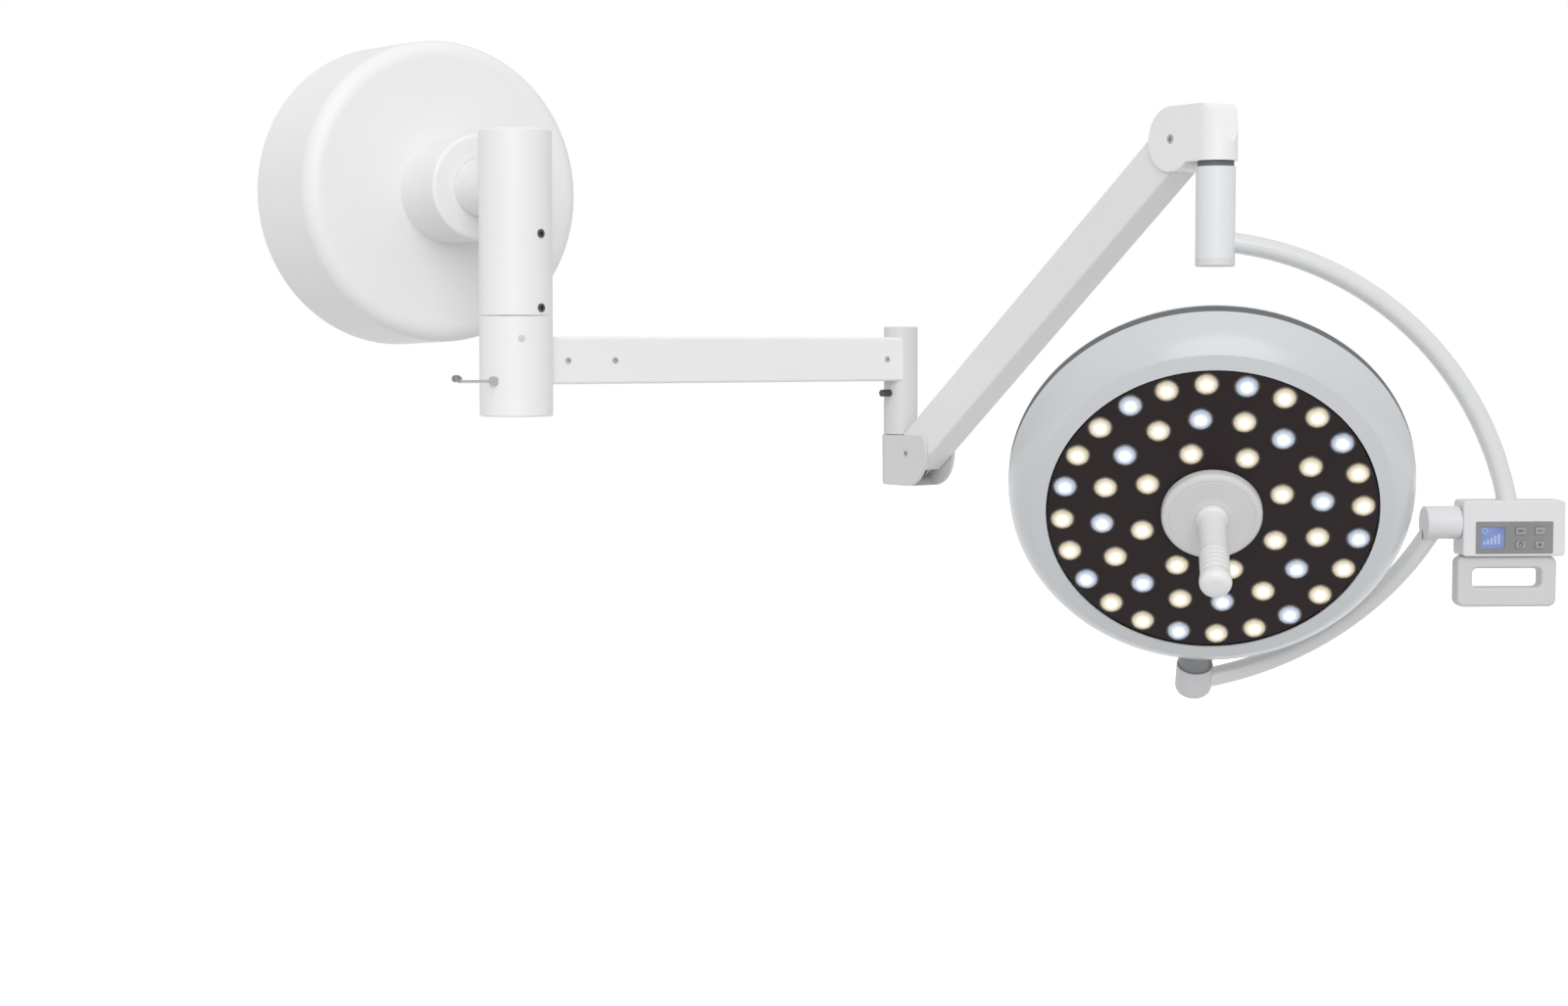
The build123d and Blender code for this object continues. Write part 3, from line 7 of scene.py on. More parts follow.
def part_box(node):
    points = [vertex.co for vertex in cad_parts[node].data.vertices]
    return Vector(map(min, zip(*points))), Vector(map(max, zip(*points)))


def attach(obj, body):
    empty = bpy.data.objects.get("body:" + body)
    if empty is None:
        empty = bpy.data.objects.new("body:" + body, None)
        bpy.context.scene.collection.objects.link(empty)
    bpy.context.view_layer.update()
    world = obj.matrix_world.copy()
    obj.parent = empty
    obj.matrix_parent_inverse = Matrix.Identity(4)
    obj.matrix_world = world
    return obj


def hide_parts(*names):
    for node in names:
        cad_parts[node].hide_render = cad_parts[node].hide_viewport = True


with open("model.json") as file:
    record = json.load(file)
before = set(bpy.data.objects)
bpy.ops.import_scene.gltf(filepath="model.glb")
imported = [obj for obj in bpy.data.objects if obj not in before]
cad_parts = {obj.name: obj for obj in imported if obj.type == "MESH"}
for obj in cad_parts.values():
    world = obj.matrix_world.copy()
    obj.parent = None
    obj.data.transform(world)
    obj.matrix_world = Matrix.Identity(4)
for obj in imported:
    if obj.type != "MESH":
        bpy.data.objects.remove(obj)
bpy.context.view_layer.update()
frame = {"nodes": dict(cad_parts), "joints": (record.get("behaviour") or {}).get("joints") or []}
joints = {joint["name"]: joint for joint in frame["joints"]}

# ---- Room ----
# A plain pale floor a good way under the wall mounting, and soft daylight from a
# wide window in front and above. The camera stands out to the left of the lamp.
floor_height = -1.95
floor_width = 60.0
bpy.ops.object.select_all(action="DESELECT")
bpy.ops.mesh.primitive_plane_add(size=floor_width, location=(0.0, 0.0, floor_height))
floor = bpy.context.object
floor.name = "floor"
floor.visible_diffuse = False
floor_paint = bpy.data.materials.new("floor_paint")
floor_paint.use_nodes = True
floor_shader = floor_paint.node_tree.nodes["Principled BSDF"]
floor_shader.inputs["Base Color"].default_value = (0.94, 0.94, 0.94, 1.0)
floor_shader.inputs["Roughness"].default_value = 0.95
floor_shader.inputs["Emission Color"].default_value = (1.0, 1.0, 1.0, 1.0)
floor_shader.inputs["Emission Strength"].default_value = 0.35
floor.data.materials.append(floor_paint)

sky_light = 0.84
ground_light = 0.58
ground_slope = -0.6
sky_slope = 0.9
room = bpy.data.worlds.new("room")
room.use_nodes = True
room_nodes = room.node_tree.nodes
room_links = room.node_tree.links
direction = room_nodes.new("ShaderNodeTexCoord")
split = room_nodes.new("ShaderNodeSeparateXYZ")
room_links.new(direction.outputs["Generated"], split.inputs["Vector"])
fade = room_nodes.new("ShaderNodeMapRange")
fade.inputs["From Min"].default_value = ground_slope
fade.inputs["From Max"].default_value = sky_slope
fade.inputs["To Min"].default_value = ground_light
fade.inputs["To Max"].default_value = sky_light
room_links.new(split.outputs["Z"], fade.inputs["Value"])
seen = room_nodes.new("ShaderNodeLightPath")
level = room_nodes.new("ShaderNodeMath")
level.operation = "MAXIMUM"
room_links.new(fade.outputs["Result"], level.inputs[0])
room_links.new(seen.outputs["Is Camera Ray"], level.inputs[1])
room_links.new(level.outputs["Value"], room_nodes["Background"].inputs["Strength"])
room_nodes["Background"].inputs["Color"].default_value = (1.0, 1.0, 1.0, 1.0)
bpy.context.scene.world = room
bpy.context.scene.view_settings.view_transform = "Standard"

window_strength = 1.25
window_spread = 50.0
window_direction = Vector((-0.60, -0.90, 0.55))
window_data = bpy.data.lights.new("window", "SUN")
window_data.energy = window_strength
window_data.angle = radians(window_spread)
window = bpy.data.objects.new("window", window_data)
window.rotation_euler = window_direction.to_track_quat("Z", "Y").to_euler()
bpy.context.scene.collection.objects.link(window)

camera_place = (-1.607, -3.413, -0.205)
camera_dip = 3.465
camera_swing = -33.5
camera_lens = 60.75
camera_data = bpy.data.cameras.new("camera")
camera_data.lens = camera_lens
camera_data.sensor_width = 36.0
camera_data.clip_end = 100.0
camera = bpy.data.objects.new("camera", camera_data)
camera.location = camera_place
camera.rotation_euler = (radians(90.0 - camera_dip), 0.0, radians(camera_swing))
bpy.context.scene.collection.objects.link(camera)
bpy.context.scene.camera = camera

# ---- Wall plate ----
# A zinc-plated steel disc, bolted to the wall through six clearance holes. It
# carries the whole light, and the drum cover hides it.


class Signal:
    """A value in a finish's nodes. Sums written on it add the nodes that work them out."""

    def __init__(self, tree, socket):
        self.tree = tree
        self.socket = socket

    def worked(self, operation, first, second):
        node = self.tree.nodes.new("ShaderNodeMath")
        node.operation = operation
        for place, value in enumerate((first, second)):
            if isinstance(value, Signal):
                self.tree.links.new(value.socket, node.inputs[place])
            else:
                node.inputs[place].default_value = value
        return Signal(self.tree, node.outputs[0])

    def __add__(self, other):
        return self.worked("ADD", self, other)

    def __radd__(self, other):
        return self.worked("ADD", other, self)

    def __sub__(self, other):
        return self.worked("SUBTRACT", self, other)

    def __rsub__(self, other):
        return self.worked("SUBTRACT", other, self)

    def __mul__(self, other):
        return self.worked("MULTIPLY", self, other)

    def __rmul__(self, other):
        return self.worked("MULTIPLY", other, self)


class Finish:
    """One material, with one way to add a node and one way to set its shader."""

    def __init__(self, name):
        self.material = bpy.data.materials.new(name)
        self.material.use_nodes = True
        self.tree = self.material.node_tree
        self.shader = self.tree.nodes["Principled BSDF"]

    def put(self, socket, value):
        if isinstance(value, Signal):
            self.tree.links.new(value.socket, socket)
        else:
            socket.default_value = value

    def node(self, kind, settings, inputs, output):
        node = self.tree.nodes.new("ShaderNode" + kind)
        for name, value in settings.items():
            if name == "stops":
                stops = node.color_ramp.elements
                for place, (position, shade) in enumerate(value):
                    stop = stops[place] if place < 2 else stops.new(position)
                    stop.position = position
                    stop.color = (*shade, 1.0)
            else:
                setattr(node, name, value)
        for name, value in inputs.items():
            self.put(node.inputs[name], value)
        return Signal(self.tree, node.outputs[output])

    def mixed(self, share, first, second):
        """A colour between two others. The three colour sockets of the Mix node have these numbers."""
        return self.node("Mix", {"data_type": "RGBA"}, {0: share, 6: first, 7: second}, 2)

    def noise(self, place, size, detail=2.0):
        """A soft random pattern from 0 to 1, whose lumps are about this many metres across."""
        return self.node("TexNoise", {}, {"Vector": place, "Scale": 1.0 / size, "Detail": detail}, 0)

    def relief(self, height, depth, strength=1.0):
        return self.node("Bump", {}, {"Height": height, "Distance": depth, "Strength": strength}, 0)

    def shade(self, **inputs):
        for name, value in inputs.items():
            self.put(self.shader.inputs[name.replace("_", " ")], value)


def full(colour):
    """A colour with the fourth number that a colour socket asks for."""
    return (*colour, 1.0)


def dress(finish, *nodes):
    """Gives a finish to the named solids."""
    for name in nodes:
        mesh = frame["nodes"][name].data
        mesh.materials.clear()
        mesh.materials.append(finish.material)


def rolled_metal(name, colour, roughness, streak, size):
    """Bare metal: a grain of fine scratches that run one way, and slightly uneven polish."""
    finish = Finish(name)
    place = finish.node("TexCoord", {}, {}, "Object")
    turned = finish.node("Mapping", {}, {"Vector": place, "Scale": streak}, 0)
    grain = finish.noise(turned, size, 4.0)
    cloud = finish.noise(place, 0.03)
    darker = tuple(0.72 * part for part in colour)
    tone = finish.mixed(grain * 0.6 + cloud * 0.4, full(darker), full(colour))
    finish.shade(
        Base_Color=tone,
        Metallic=1.0,
        Roughness=roughness + grain * 0.18,
        Normal=finish.relief(grain, 0.00004, 0.6),
    )
    return finish


zinc_plating = rolled_metal("zinc_plating", (0.55, 0.57, 0.58), 0.32, (1.0, 1.0, 1.0), 0.012)
dress(zinc_plating, "wall_plate")

# ---- Support tube, column and level arm ----
# Welded steel tube and plate, powder coated white after welding. The coat has a
# faint orange peel, and is a touch greyer where hands and cloths have been.


def powder_coat(name, colour, roughness, peel_size, peel_depth, coat):
    """Sprayed and baked paint: shallow orange peel, and a shade that drifts slightly."""
    finish = Finish(name)
    place = finish.node("TexCoord", {}, {}, "Object")
    drift = finish.noise(place, 0.16, 3.0)
    peel = finish.noise(place, peel_size, 2.0)
    speck = finish.noise(place, peel_size * 0.45, 1.0)
    worn = tuple(0.94 * part for part in colour)
    tone = finish.mixed(drift, full(worn), full(colour))
    tone = finish.mixed(speck * 0.10, tone, full(tuple(0.80 * part for part in colour)))
    finish.shade(
        Base_Color=tone,
        Roughness=roughness + peel * 0.10 + drift * 0.05,
        Coat_Weight=coat,
        Normal=finish.relief(peel + speck * 0.3, peel_depth),
    )
    finish.shader.inputs["Coat Roughness"].default_value = 0.18
    return finish


frame_white = powder_coat("frame_white", (0.865, 0.865, 0.86), 0.34, 0.0016, 0.00005, 0.25)
dress(
    frame_white,
    "support_tube",
    "column_tube",
    "column_cap",
    "hub_shell",
    "hub_cap",
    "first_arm_tube",
    "top_knuckle",
)
# A darker copy of the same white frame paint: painted shade on the end tube, its cap and the lower knuckle.
frame_white_shaded = powder_coat("frame_white_shaded", (0.69, 0.69, 0.685), 0.36, 0.0016, 0.00005, 0.2)
dress(frame_white_shaded, "end_tube", "end_tube_cap", "lower_knuckle")
shaft_white = powder_coat("shaft_white", (0.77, 0.79, 0.81), 0.32, 0.0016, 0.00004, 0.3)
dress(shaft_white, "drop_shaft")
arm_grey = powder_coat("arm_grey", (0.83, 0.83, 0.825), 0.36, 0.0016, 0.00005, 0.2)
dress(arm_grey, "spring_arm_tube")

# ---- Drum cover and collar ----
# Two thin shells moulded in white plastic. The drum stands against the wall round the
# plate and hides the power supply, and the collar slides along the support tube to
# close it. No clip or screw is modelled.


def moulded_plastic(name, colour, roughness, grain_size, grain_depth):
    """Moulded plastic: a fine spark-eroded grain, and a slight haze over large areas."""
    finish = Finish(name)
    place = finish.node("TexCoord", {}, {}, "Object")
    haze = finish.noise(place, 0.12, 2.0)
    grain = finish.noise(place, grain_size, 3.0)
    tone = finish.mixed(haze, full(tuple(0.955 * part for part in colour)), full(colour))
    finish.shade(
        Base_Color=tone,
        Roughness=roughness + grain * 0.12,
        Normal=finish.relief(grain, grain_depth),
    )
    return finish


cover_white = moulded_plastic("cover_white", (0.84, 0.845, 0.84), 0.40, 0.0009, 0.00004)
dress(cover_white, "cover_shell", "cover_collar")

# ---- Power supply ----
# A switched supply in a brushed aluminium case, screwed to the wall plate inside
# the drum.
case_metal = rolled_metal("case_metal", (0.62, 0.63, 0.64), 0.38, (1.0, 6.0, 1.0), 0.004)
dress(case_metal, "power_supply")

# ---- Spindles, pins, screws and bushes ----
# Turned steel spindles, pins, screws, rods and the levelling link. The spindles run in
# oil-soaked bronze bushes. The column brakes and the gas cylinder are blackened.
turned_steel = rolled_metal("turned_steel", (0.60, 0.60, 0.61), 0.26, (1.0, 1.0, 14.0), 0.004)
dress(
    turned_steel,
    "arm_spindle",
    "swing_spindle",
    "shaft_spindle",
    "tilt_axle",
    "first_arm_screws",
    "lower_pins",
    "upper_pins",
    "gas_rod",
    "levelling_link",
    "brake_lever",
)
journal_steel = rolled_metal("journal_steel", (0.20, 0.205, 0.21), 0.40, (1.0, 1.0, 10.0), 0.004)
dress(journal_steel, "head_journal")
dark_steel = rolled_metal("dark_steel", (0.13, 0.13, 0.135), 0.42, (1.0, 1.0, 3.0), 0.003)
dress(dark_steel, "column_brake_screws", "end_brake_knob", "gas_cylinder")
knob_steel = rolled_metal("knob_steel", (0.30, 0.30, 0.31), 0.36, (1.0, 1.0, 4.0), 0.003)
dress(knob_steel, "lever_knob")
bearing_bronze = rolled_metal("bearing_bronze", (0.52, 0.36, 0.17), 0.44, (1.0, 1.0, 2.0), 0.002)
dress(bearing_bronze, "column_bushes", "end_bushes", "arm_bushes", "swivel_bush")


def soft_rubber(name, colour):
    """Black seal rubber: matt, with a bloom of lighter dust in its grain."""
    finish = Finish(name)
    place = finish.node("TexCoord", {}, {}, "Object")
    grain = finish.noise(place, 0.0012, 4.0)
    bloom = finish.noise(place, 0.03, 3.0)
    dusty = tuple(part * 1.7 + 0.01 for part in colour)
    finish.shade(
        Base_Color=finish.mixed(bloom * 0.6, full(colour), full(dusty)),
        Roughness=0.62 + grain * 0.2,
        Normal=finish.relief(grain, 0.00006),
    )
    return finish


# The seal rubber is real on the swivel seal. On the rim gasket it is painted shade: a dark ring where the side
# of the head's rim falls into shade.
seal_rubber_and_rim_shade = soft_rubber("seal_rubber_and_rim_shade", (0.10, 0.105, 0.11))
dress(seal_rubber_and_rim_shade, "swivel_seal", "rim_gasket")

# ---- Arc tubes ----
# Bent steel tube of the same size for the outer arc and the yoke, in a smooth
# gloss enamel that is slightly greyer than the castings.
tube_enamel = powder_coat("tube_enamel", (0.71, 0.715, 0.72), 0.24, 0.006, 0.000006, 0.5)
dress(tube_enamel, "outer_arc", "yoke_arc")

# ---- Control box, handle frame and yoke castings ----
# Two moulded halves in white plastic, with the grip below, and the pivot castings
# painted to match.
box_white = moulded_plastic("box_white", (0.71, 0.71, 0.725), 0.38, 0.0007, 0.00003)
dress(box_white, "control_box", "box_back_cover", "yoke_hub", "shaft_end_cap")
grip_grey = moulded_plastic("grip_grey", (0.59, 0.595, 0.60), 0.40, 0.0007, 0.00003)
dress(grip_grey, "handle_frame")
socket_grey = moulded_plastic("socket_grey", (0.62, 0.625, 0.635), 0.36, 0.0009, 0.00003)
dress(socket_grey, "yoke_socket")

# ---- Lamp head shells ----
# A spun aluminium dome behind and a moulded silvery-white bezel in front. The dark gasket in the seam between
# them is painted shade on the shaded side band of the head's rim.
bezel_silver = powder_coat("bezel_silver", (0.60, 0.62, 0.64), 0.26, 0.004, 0.00002, 0.45)
dress(bezel_silver, "bezel_ring")
dome_silver = powder_coat("dome_silver", (0.66, 0.68, 0.70), 0.30, 0.0018, 0.00004, 0.3)
dress(dome_silver, "rear_dome")

# ---- Face plate and boards ----
# A gloss black plate closes the head's front. Behind it the diodes sit on a round
# glass-fibre board, and a smaller board of the same green carries the keys.


def gloss_plate(name, colour, roughness, shine):
    """Polished dark moulding, with the faint clouding of a wiped surface."""
    finish = Finish(name)
    place = finish.node("TexCoord", {}, {}, "Object")
    cloud = finish.noise(place, 0.05, 4.0)
    smear = finish.noise(place, 0.012, 3.0)
    lighter = tuple(1.35 * part + 0.004 for part in colour)
    finish.shade(
        Base_Color=finish.mixed(cloud, full(colour), full(lighter)),
        Roughness=roughness + smear * 0.12,
        Normal=finish.relief(smear, 0.00001),
    )
    finish.shader.inputs["Specular IOR Level"].default_value = shine
    return finish


face_black = gloss_plate("face_black", (0.016, 0.010, 0.011), 0.24, 0.14)
dress(face_black, "lens_panel")
board_green = moulded_plastic("board_green", (0.03, 0.17, 0.09), 0.35, 0.0006, 0.00002)
dress(board_green, "led_board", "circuit_board")

# ---- Lenses ----
# Clear acrylic collimators pushed into the face from behind, in black collars. Each has
# a rim, a step and a shallow dome, and the lit diode shows as a white core with a halo.
head_rise = 0.054
head_normal = Vector(joints["handle_pull"]["axis"])
head_up = Vector(joints["head_tilt"]["axis"])
head_right = head_up.cross(head_normal)
head_centre = Vector(joints["head_tilt"]["pos_m"]) + head_rise * head_up
head_turn = Matrix((head_right, head_up, head_normal)).transposed().to_4x4()
head_place = Matrix.Translation(head_centre) @ head_turn
merge_distance = 0.00006
smooth_angle = 35.0


def clear_selection():
    """Nothing stays selected or open, so that the next operator acts on its own piece alone."""
    if bpy.context.mode != "OBJECT":
        bpy.ops.object.mode_set(mode="OBJECT")
    bpy.ops.object.select_all(action="DESELECT")


def seat(piece, place):
    """Puts a finished mesh where it belongs and leaves its object at the origin."""
    clear_selection()
    bpy.context.view_layer.objects.active = piece
    piece.select_set(True)
    piece.matrix_world = place
    bpy.ops.object.transform_apply(location=True, rotation=True, scale=True)


def turned_piece(name, outline, sides):
    """A round piece, drawn out ring by ring along its outline of (radius, height) points."""
    clear_selection()
    first_radius, first_height = outline[0]
    bpy.ops.mesh.primitive_circle_add(
        vertices=sides, radius=first_radius, calc_uvs=False, location=(0.0, 0.0, first_height)
    )
    piece = bpy.context.object
    piece.name = name
    piece.data.name = name
    bpy.ops.object.transform_apply(location=True)
    bpy.ops.object.mode_set(mode="EDIT")
    bpy.ops.mesh.select_all(action="SELECT")
    for (radius, height), (next_radius, next_height) in zip(outline, outline[1:]):
        rise = (0.0, 0.0, next_height - height)
        bpy.ops.mesh.extrude_region_move(TRANSFORM_OT_translate={"value": rise})
        growth = next_radius / radius
        bpy.ops.transform.resize(value=(growth, growth, 1.0), center_override=(0.0, 0.0, 0.0))
    bpy.ops.mesh.select_all(action="SELECT")
    bpy.ops.mesh.remove_doubles(threshold=merge_distance)
    bpy.ops.mesh.normals_make_consistent(inside=False)
    bpy.ops.object.mode_set(mode="OBJECT")
    bpy.ops.object.shade_smooth_by_angle(angle=radians(smooth_angle))
    return piece


def joined(name, pieces):
    """Several like pieces as one."""
    clear_selection()
    for piece in pieces:
        piece.select_set(True)
    bpy.context.view_layer.objects.active = pieces[0]
    bpy.ops.object.join()
    whole = bpy.context.object
    whole.name = name
    whole.data.name = name
    return whole


def paint(piece, finish, body):
    """Finishes a new piece and hangs it on its body."""
    piece.data.materials.clear()
    piece.data.materials.append(finish.material)
    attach(piece, body)


axis_radius = 0.00002
lens_radius = 0.0139
lens_sides = 28
lens_outline = (
    (axis_radius, 0.0480),
    (0.0110, 0.0480),
    (lens_radius, 0.0560),
    (lens_radius, 0.0582),
    (0.0134, 0.0588),
    (0.0127, 0.0588),
    (0.0124, 0.0583),
    (0.0112, 0.0592),
    (0.0088, 0.0602),
    (0.0058, 0.0610),
    (0.0028, 0.0614),
    (axis_radius, 0.0615),
)
collar_outline = (
    (0.0141, 0.0570),
    (0.0157, 0.0570),
    (0.0156, 0.0579),
    (0.0150, 0.0584),
    (0.0143, 0.0582),
    (0.0141, 0.0570),
)
lens_rings = ((0.178, 24, 6.0, "wwc"), (0.131, 16, 9.75, "cw"), (0.086, 8, 20.25, "w"))


def lens_glow(name, core, halo, rim):
    """A lit lens: white core, tinted halo and dim rim, read across the lens's own map."""
    finish = Finish(name)
    across = finish.node("UVMap", {}, {}, 0)
    out = finish.node("VectorMath", {"operation": "LENGTH"}, {0: across}, "Value")
    place = finish.node("TexCoord", {}, {}, "Object")
    uneven = finish.noise(place, 0.006, 1.0)
    reach = out + (uneven - 0.5) * 0.16
    dim_halo = tuple(0.62 * part for part in halo)
    unlit = tuple(0.16 * part for part in halo)
    stops = ((0.0, core), (0.42, core), (0.66, halo), (0.86, dim_halo), (0.96, rim))
    glow = finish.node("ValToRGB", {"stops": stops}, {"Fac": reach}, 0)
    finish.shade(Base_Color=full(unlit), Emission_Color=glow, Roughness=0.08 + out * 0.1)
    finish.shader.inputs["Emission Strength"].default_value = 1.0
    return finish


glows = {
    "w": lens_glow("warm_glow", (1.0, 0.965, 0.88), (0.72, 0.63, 0.47), (0.13, 0.10, 0.07)),
    "c": lens_glow("cool_glow", (0.93, 0.96, 1.0), (0.50, 0.56, 0.66), (0.08, 0.09, 0.115)),
}
lens = turned_piece("lens", lens_outline, lens_sides)
lens_map = lens.data.uv_layers.new(name="UVMap")
for loop in lens.data.loops:
    point = lens.data.vertices[loop.vertex_index].co
    lens_map.data[loop.index].uv = (point.x / lens_radius, point.y / lens_radius)
lens_collar = turned_piece("lens_collar", collar_outline, lens_sides)
lens_sets = {"w": [], "c": []}
collars = []
for ring_radius, count, start, pattern in lens_rings:
    for step in range(count):
        angle = radians(start + 360.0 * step / count)
        spot = Matrix.Translation((ring_radius * cos(angle), ring_radius * sin(angle), 0.0))
        for source, group in ((lens, lens_sets[pattern[step % len(pattern)]]), (lens_collar, collars)):
            copy = source.copy()
            copy.data = source.data.copy()
            copy.data.transform(spot)
            bpy.context.scene.collection.objects.link(copy)
            group.append(copy)
bpy.data.objects.remove(lens)
bpy.data.objects.remove(lens_collar)
for kind, name, node, slot in (
    ("w", "warm_lens_set", "warm_lenses", "lens_warm"),
    ("c", "cool_lens_set", "cool_lenses", "lens_cool"),
):
    lens_set = joined(name, lens_sets[kind])
    seat(lens_set, head_place)
    paint(lens_set, glows[kind], "lamp_head")
    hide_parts(node)
collar_black = gloss_plate("collar_black", (0.03, 0.026, 0.025), 0.28, 0.4)
collar_set = joined("lens_collars", collars)
seat(collar_set, head_place)
paint(collar_set, collar_black, "lamp_head")

# ---- Centre disc ----
# A white moulded boss over the middle of the face, with a rounded rim, a shallow ring
# groove and a grooved spigot that the sterile handle pushes onto.
disc_outline = (
    (axis_radius, 0.0575),
    (0.0600, 0.0575),
    (0.0600, 0.0650),
    (0.0592, 0.0676),
    (0.0575, 0.0694),
    (0.0550, 0.0703),
    (0.0520, 0.0705),
    (0.0514, 0.0700),
    (0.0506, 0.0700),
    (0.0500, 0.0705),
    (0.0300, 0.0705),
    (0.0270, 0.0702),
    (0.0235, 0.0705),
    (0.0228, 0.0707),
    (0.0120, 0.0707),
    (0.0119, 0.1180),
    (0.0110, 0.1190),
    (0.0110, 0.1230),
    (0.0119, 0.1240),
    (0.0119, 0.1335),
    (0.0100, 0.1352),
    (axis_radius, 0.1355),
)
disc_sides = 96
disc = turned_piece("centre_boss", disc_outline, disc_sides)
seat(disc, head_place)
disc_white = moulded_plastic("disc_white", (0.66, 0.665, 0.665), 0.36, 0.0008, 0.00003)
paint(disc, disc_white, "lamp_head")
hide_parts("centre_disc")

# ---- Sterile handle ----
# A hollow white moulded grip that pulls off for cleaning. Its waist and the rings near
# its tip stop a gloved hand from slipping.
handle_sides = 64
grip_ring_count = 5
grip_ring_start = 0.150
grip_ring_pitch = 0.0085
grip_root = 0.0168
grip_crest = 0.0175
tip_round = 0.0100
tip_flat = 0.0089
tip_height = 0.2055
tip_steps = 7
handle_outline = [
    (axis_radius, 0.1415),
    (0.0123, 0.1412),
    (0.0123, 0.0718),
    (0.0128, 0.0711),
    (0.0184, 0.0711),
    (0.0189, 0.0718),
    (0.0189, 0.0770),
    (0.0184, 0.0782),
    (0.0172, 0.0795),
    (0.0164, 0.0900),
    (0.0162, 0.1150),
    (0.0165, 0.1450),
]
for ring in range(grip_ring_count):
    ring_height = grip_ring_start + grip_ring_pitch * ring
    handle_outline += [
        (grip_root, ring_height),
        (grip_crest, ring_height + 0.0020),
        (grip_crest, ring_height + 0.0050),
        (grip_root, ring_height + 0.0070),
    ]
handle_outline += [(0.0170, 0.1950), (0.0186, 0.1985), (0.0189, 0.2010), (0.0189, 0.2050)]
for step in range(tip_steps):
    angle = radians(15.0 * step)
    handle_outline.append((tip_flat + tip_round * cos(angle), tip_height + tip_round * sin(angle)))
handle_outline.append((axis_radius, 0.2155))
handle_white = moulded_plastic("handle_white", (0.80, 0.805, 0.80), 0.34, 0.0008, 0.00003)
handle = turned_piece("handle_grip", handle_outline, handle_sides)
seat(handle, head_place)
paint(handle, handle_white, "sterile_handle")
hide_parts("sterile_handle")

# ---- Keypad and display ----
# A moulded panel let into the box's front, with a window for the blue display and four
# moulded keys that press, all with thick printed symbols. The pane lies behind the
# panel and is wider than the window, so only its middle shows. The dark edge bars are
# past the window and hidden, and the top of the display's sun is cut off by it.
print_thickness = 0.00022
print_edge = 0.00008
pane_lift = 0.0029
screen_mark_lift = 0.0031
key_mark_lift = 0.0025
box_out = -Vector(joints["power_key_press"]["axis"])
box_up = Vector((0.0, 0.0, 1.0))
box_right = box_up.cross(box_out)
panel_grey = gloss_plate("panel_grey", (0.20, 0.20, 0.198), 0.32, 0.35)
dress(panel_grey, "display_panel")
key_grey = moulded_plastic("key_grey", (0.30, 0.315, 0.30), 0.45, 0.0006, 0.00002)
dress(key_grey, "power_key", "mode_key", "brighter_key", "dimmer_key")


def display_glow(name, low, high):
    """A backlit display: brighter in soft patches, with the fine columns of its cells."""
    finish = Finish(name)
    place = finish.node("TexCoord", {}, {}, "Object")
    patch = finish.noise(place, 0.02, 1.0)
    cells = finish.node("TexWave", {"wave_type": "BANDS"}, {"Vector": place, "Scale": 900.0}, 1)
    tone = finish.mixed(patch * 0.75 + cells * 0.25, full(low), full(high))
    finish.shade(Base_Color=tone, Emission_Color=tone, Roughness=0.12 + patch * 0.05)
    finish.shader.inputs["Emission Strength"].default_value = 0.55
    return finish


display_blue = display_glow("display_blue", (0.10, 0.13, 0.27), (0.17, 0.23, 0.42))
dress(display_blue, "lcd")


def on_box(node, lift):
    """The place on the box's front over the middle of a node, this far in front of its middle."""
    low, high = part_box(node)
    centre = (low + high) / 2 + box_out * lift
    return Matrix.Translation(centre) @ Matrix((box_right, box_up, box_out)).transposed().to_4x4()


def bar(width, height, across, up, turn=0.0):
    """One printed bar: a plane of its own size, raised and softened at its edges."""
    clear_selection()
    bpy.ops.mesh.primitive_plane_add(size=1.0)
    piece = bpy.context.object
    piece.data.transform(Matrix.Diagonal((width, height, 1.0, 1.0)))
    piece.data.transform(Matrix.Translation((across, up, 0.0)) @ Matrix.Rotation(turn, 4, "Z"))
    bpy.ops.object.mode_set(mode="EDIT")
    bpy.ops.mesh.select_all(action="SELECT")
    bpy.ops.mesh.extrude_region_move(TRANSFORM_OT_translate={"value": (0.0, 0.0, print_thickness)})
    bpy.ops.mesh.select_all(action="SELECT")
    bpy.ops.mesh.normals_make_consistent(inside=False)
    bpy.ops.mesh.bevel(offset=print_edge, segments=1)
    bpy.ops.object.mode_set(mode="OBJECT")
    return piece


def loop_mark(radius, thickness, across, up):
    """One printed ring."""
    half = thickness / 2
    outline = (
        (radius - half, 0.0),
        (radius + half, 0.0),
        (radius + half * 0.8, print_thickness),
        (radius - half * 0.8, print_thickness),
        (radius - half, 0.0),
    )
    piece = turned_piece("loop", outline, 24)
    piece.data.transform(Matrix.Translation((across, up, 0.0)))
    return piece


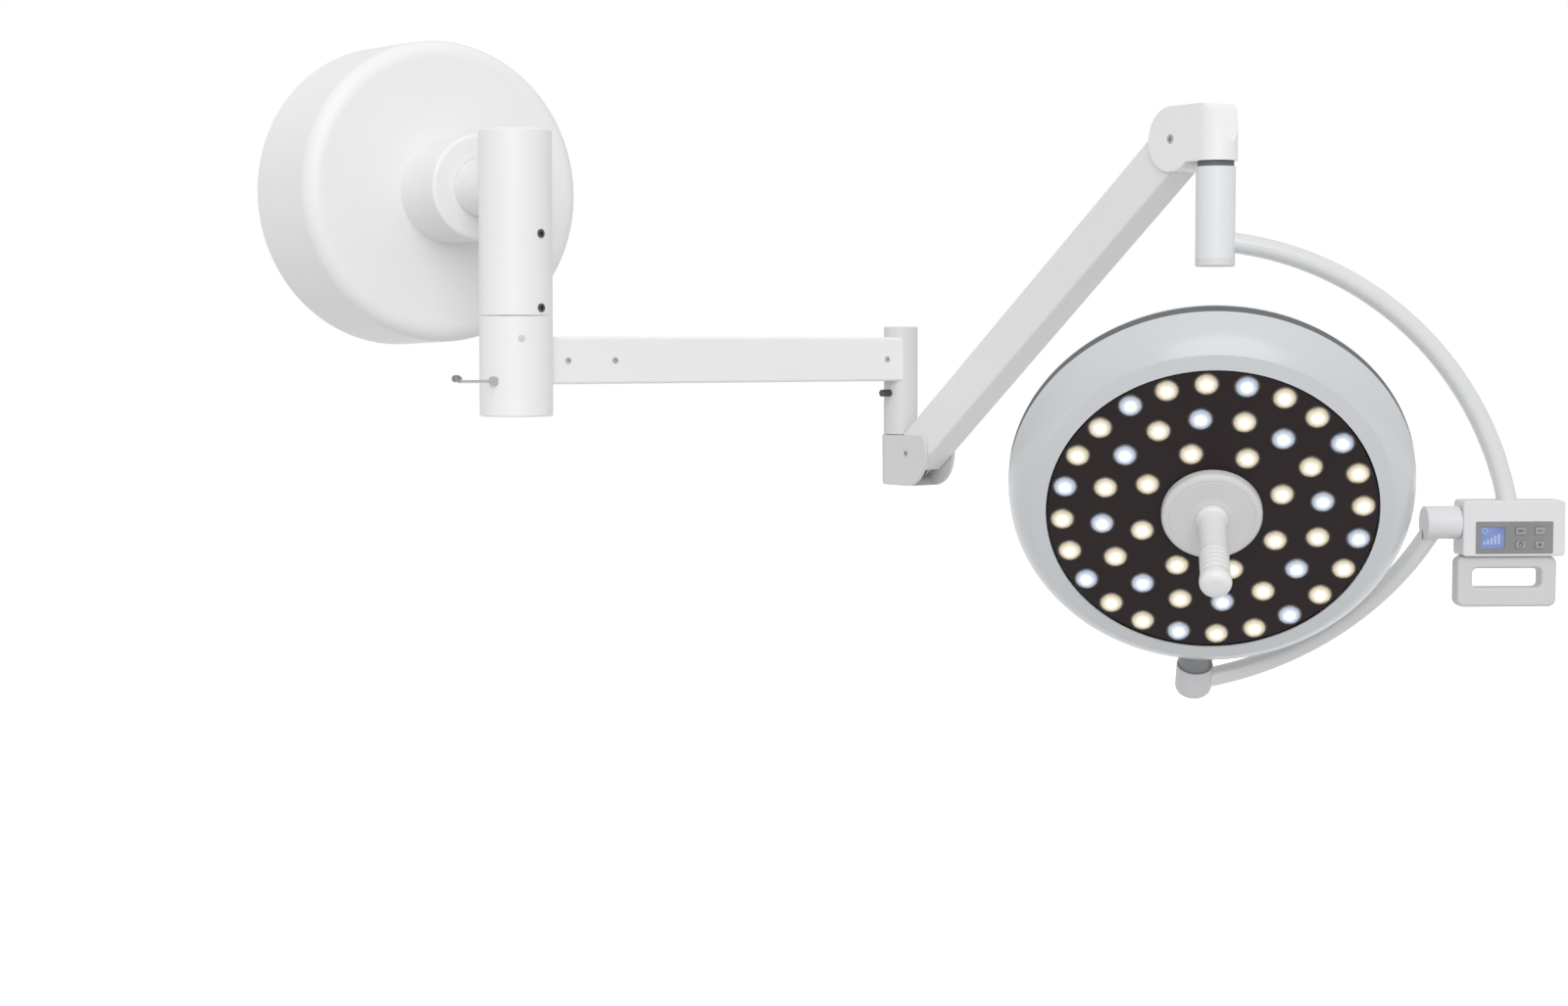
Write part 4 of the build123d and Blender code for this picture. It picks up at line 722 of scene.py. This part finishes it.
screen_light = moulded_plastic("screen_light", (0.42, 0.52, 0.78), 0.3, 0.0005, 0.00001)
screen_dark = moulded_plastic("screen_dark", (0.01, 0.014, 0.05), 0.3, 0.0005, 0.00001)
sun_across = -0.0095
sun_up = 0.0085
sun_reach = 0.0048
light_marks = []
for level in range(5):
    light_marks.append(bar(0.0026, 0.0035 + 0.0024 * level, -0.010 + 0.0045 * level, -0.0065 + 0.0012 * level))
light_marks.append(loop_mark(0.0028, 0.0010, sun_across, sun_up))
for ray in range(8):
    angle = pi * ray / 4
    ray_across = sun_across + sun_reach * cos(angle)
    ray_up = sun_up + sun_reach * sin(angle)
    light_marks.append(bar(0.0008, 0.0014, ray_across, ray_up, angle + pi / 2))
pane_blue = display_glow("pane_blue", (0.08, 0.11, 0.25), (0.16, 0.22, 0.42))
screen_pane = joined("display_pane", [bar(0.039, 0.037, 0.0, 0.0)])
seat(screen_pane, on_box("lcd", pane_lift))
paint(screen_pane, pane_blue, "lamp_arc")
screen_marks = joined("display_marks", light_marks)
seat(screen_marks, on_box("lcd", screen_mark_lift))
paint(screen_marks, screen_light, "lamp_arc")
screen_edge = joined("display_edge", [bar(0.037, 0.0030, 0.0, -0.0165), bar(0.0016, 0.034, 0.0180, 0.0)])
seat(screen_edge, on_box("lcd", screen_mark_lift))
paint(screen_edge, screen_dark, "lamp_arc")

mark_ink = moulded_plastic("mark_ink", (0.035, 0.032, 0.032), 0.4, 0.0005, 0.00001)
key_marks = {
    "power_key": [loop_mark(0.0024, 0.0008, 0.0, 0.0), bar(0.0008, 0.0030, 0.0, 0.0022)],
    "mode_key": [loop_mark(0.0012, 0.0008, -0.0018, 0.0), loop_mark(0.0012, 0.0008, 0.0018, 0.0)],
    "brighter_key": [bar(0.0050, 0.0010, 0.0, 0.0), bar(0.0010, 0.0050, 0.0, 0.0)],
    "dimmer_key": [bar(0.0050, 0.0010, 0.0, 0.0)],
}
for key, marks in key_marks.items():
    mark = joined(key.replace("key", "mark"), marks)
    seat(mark, on_box(key, key_mark_lift))
    paint(mark, mark_ink, key)
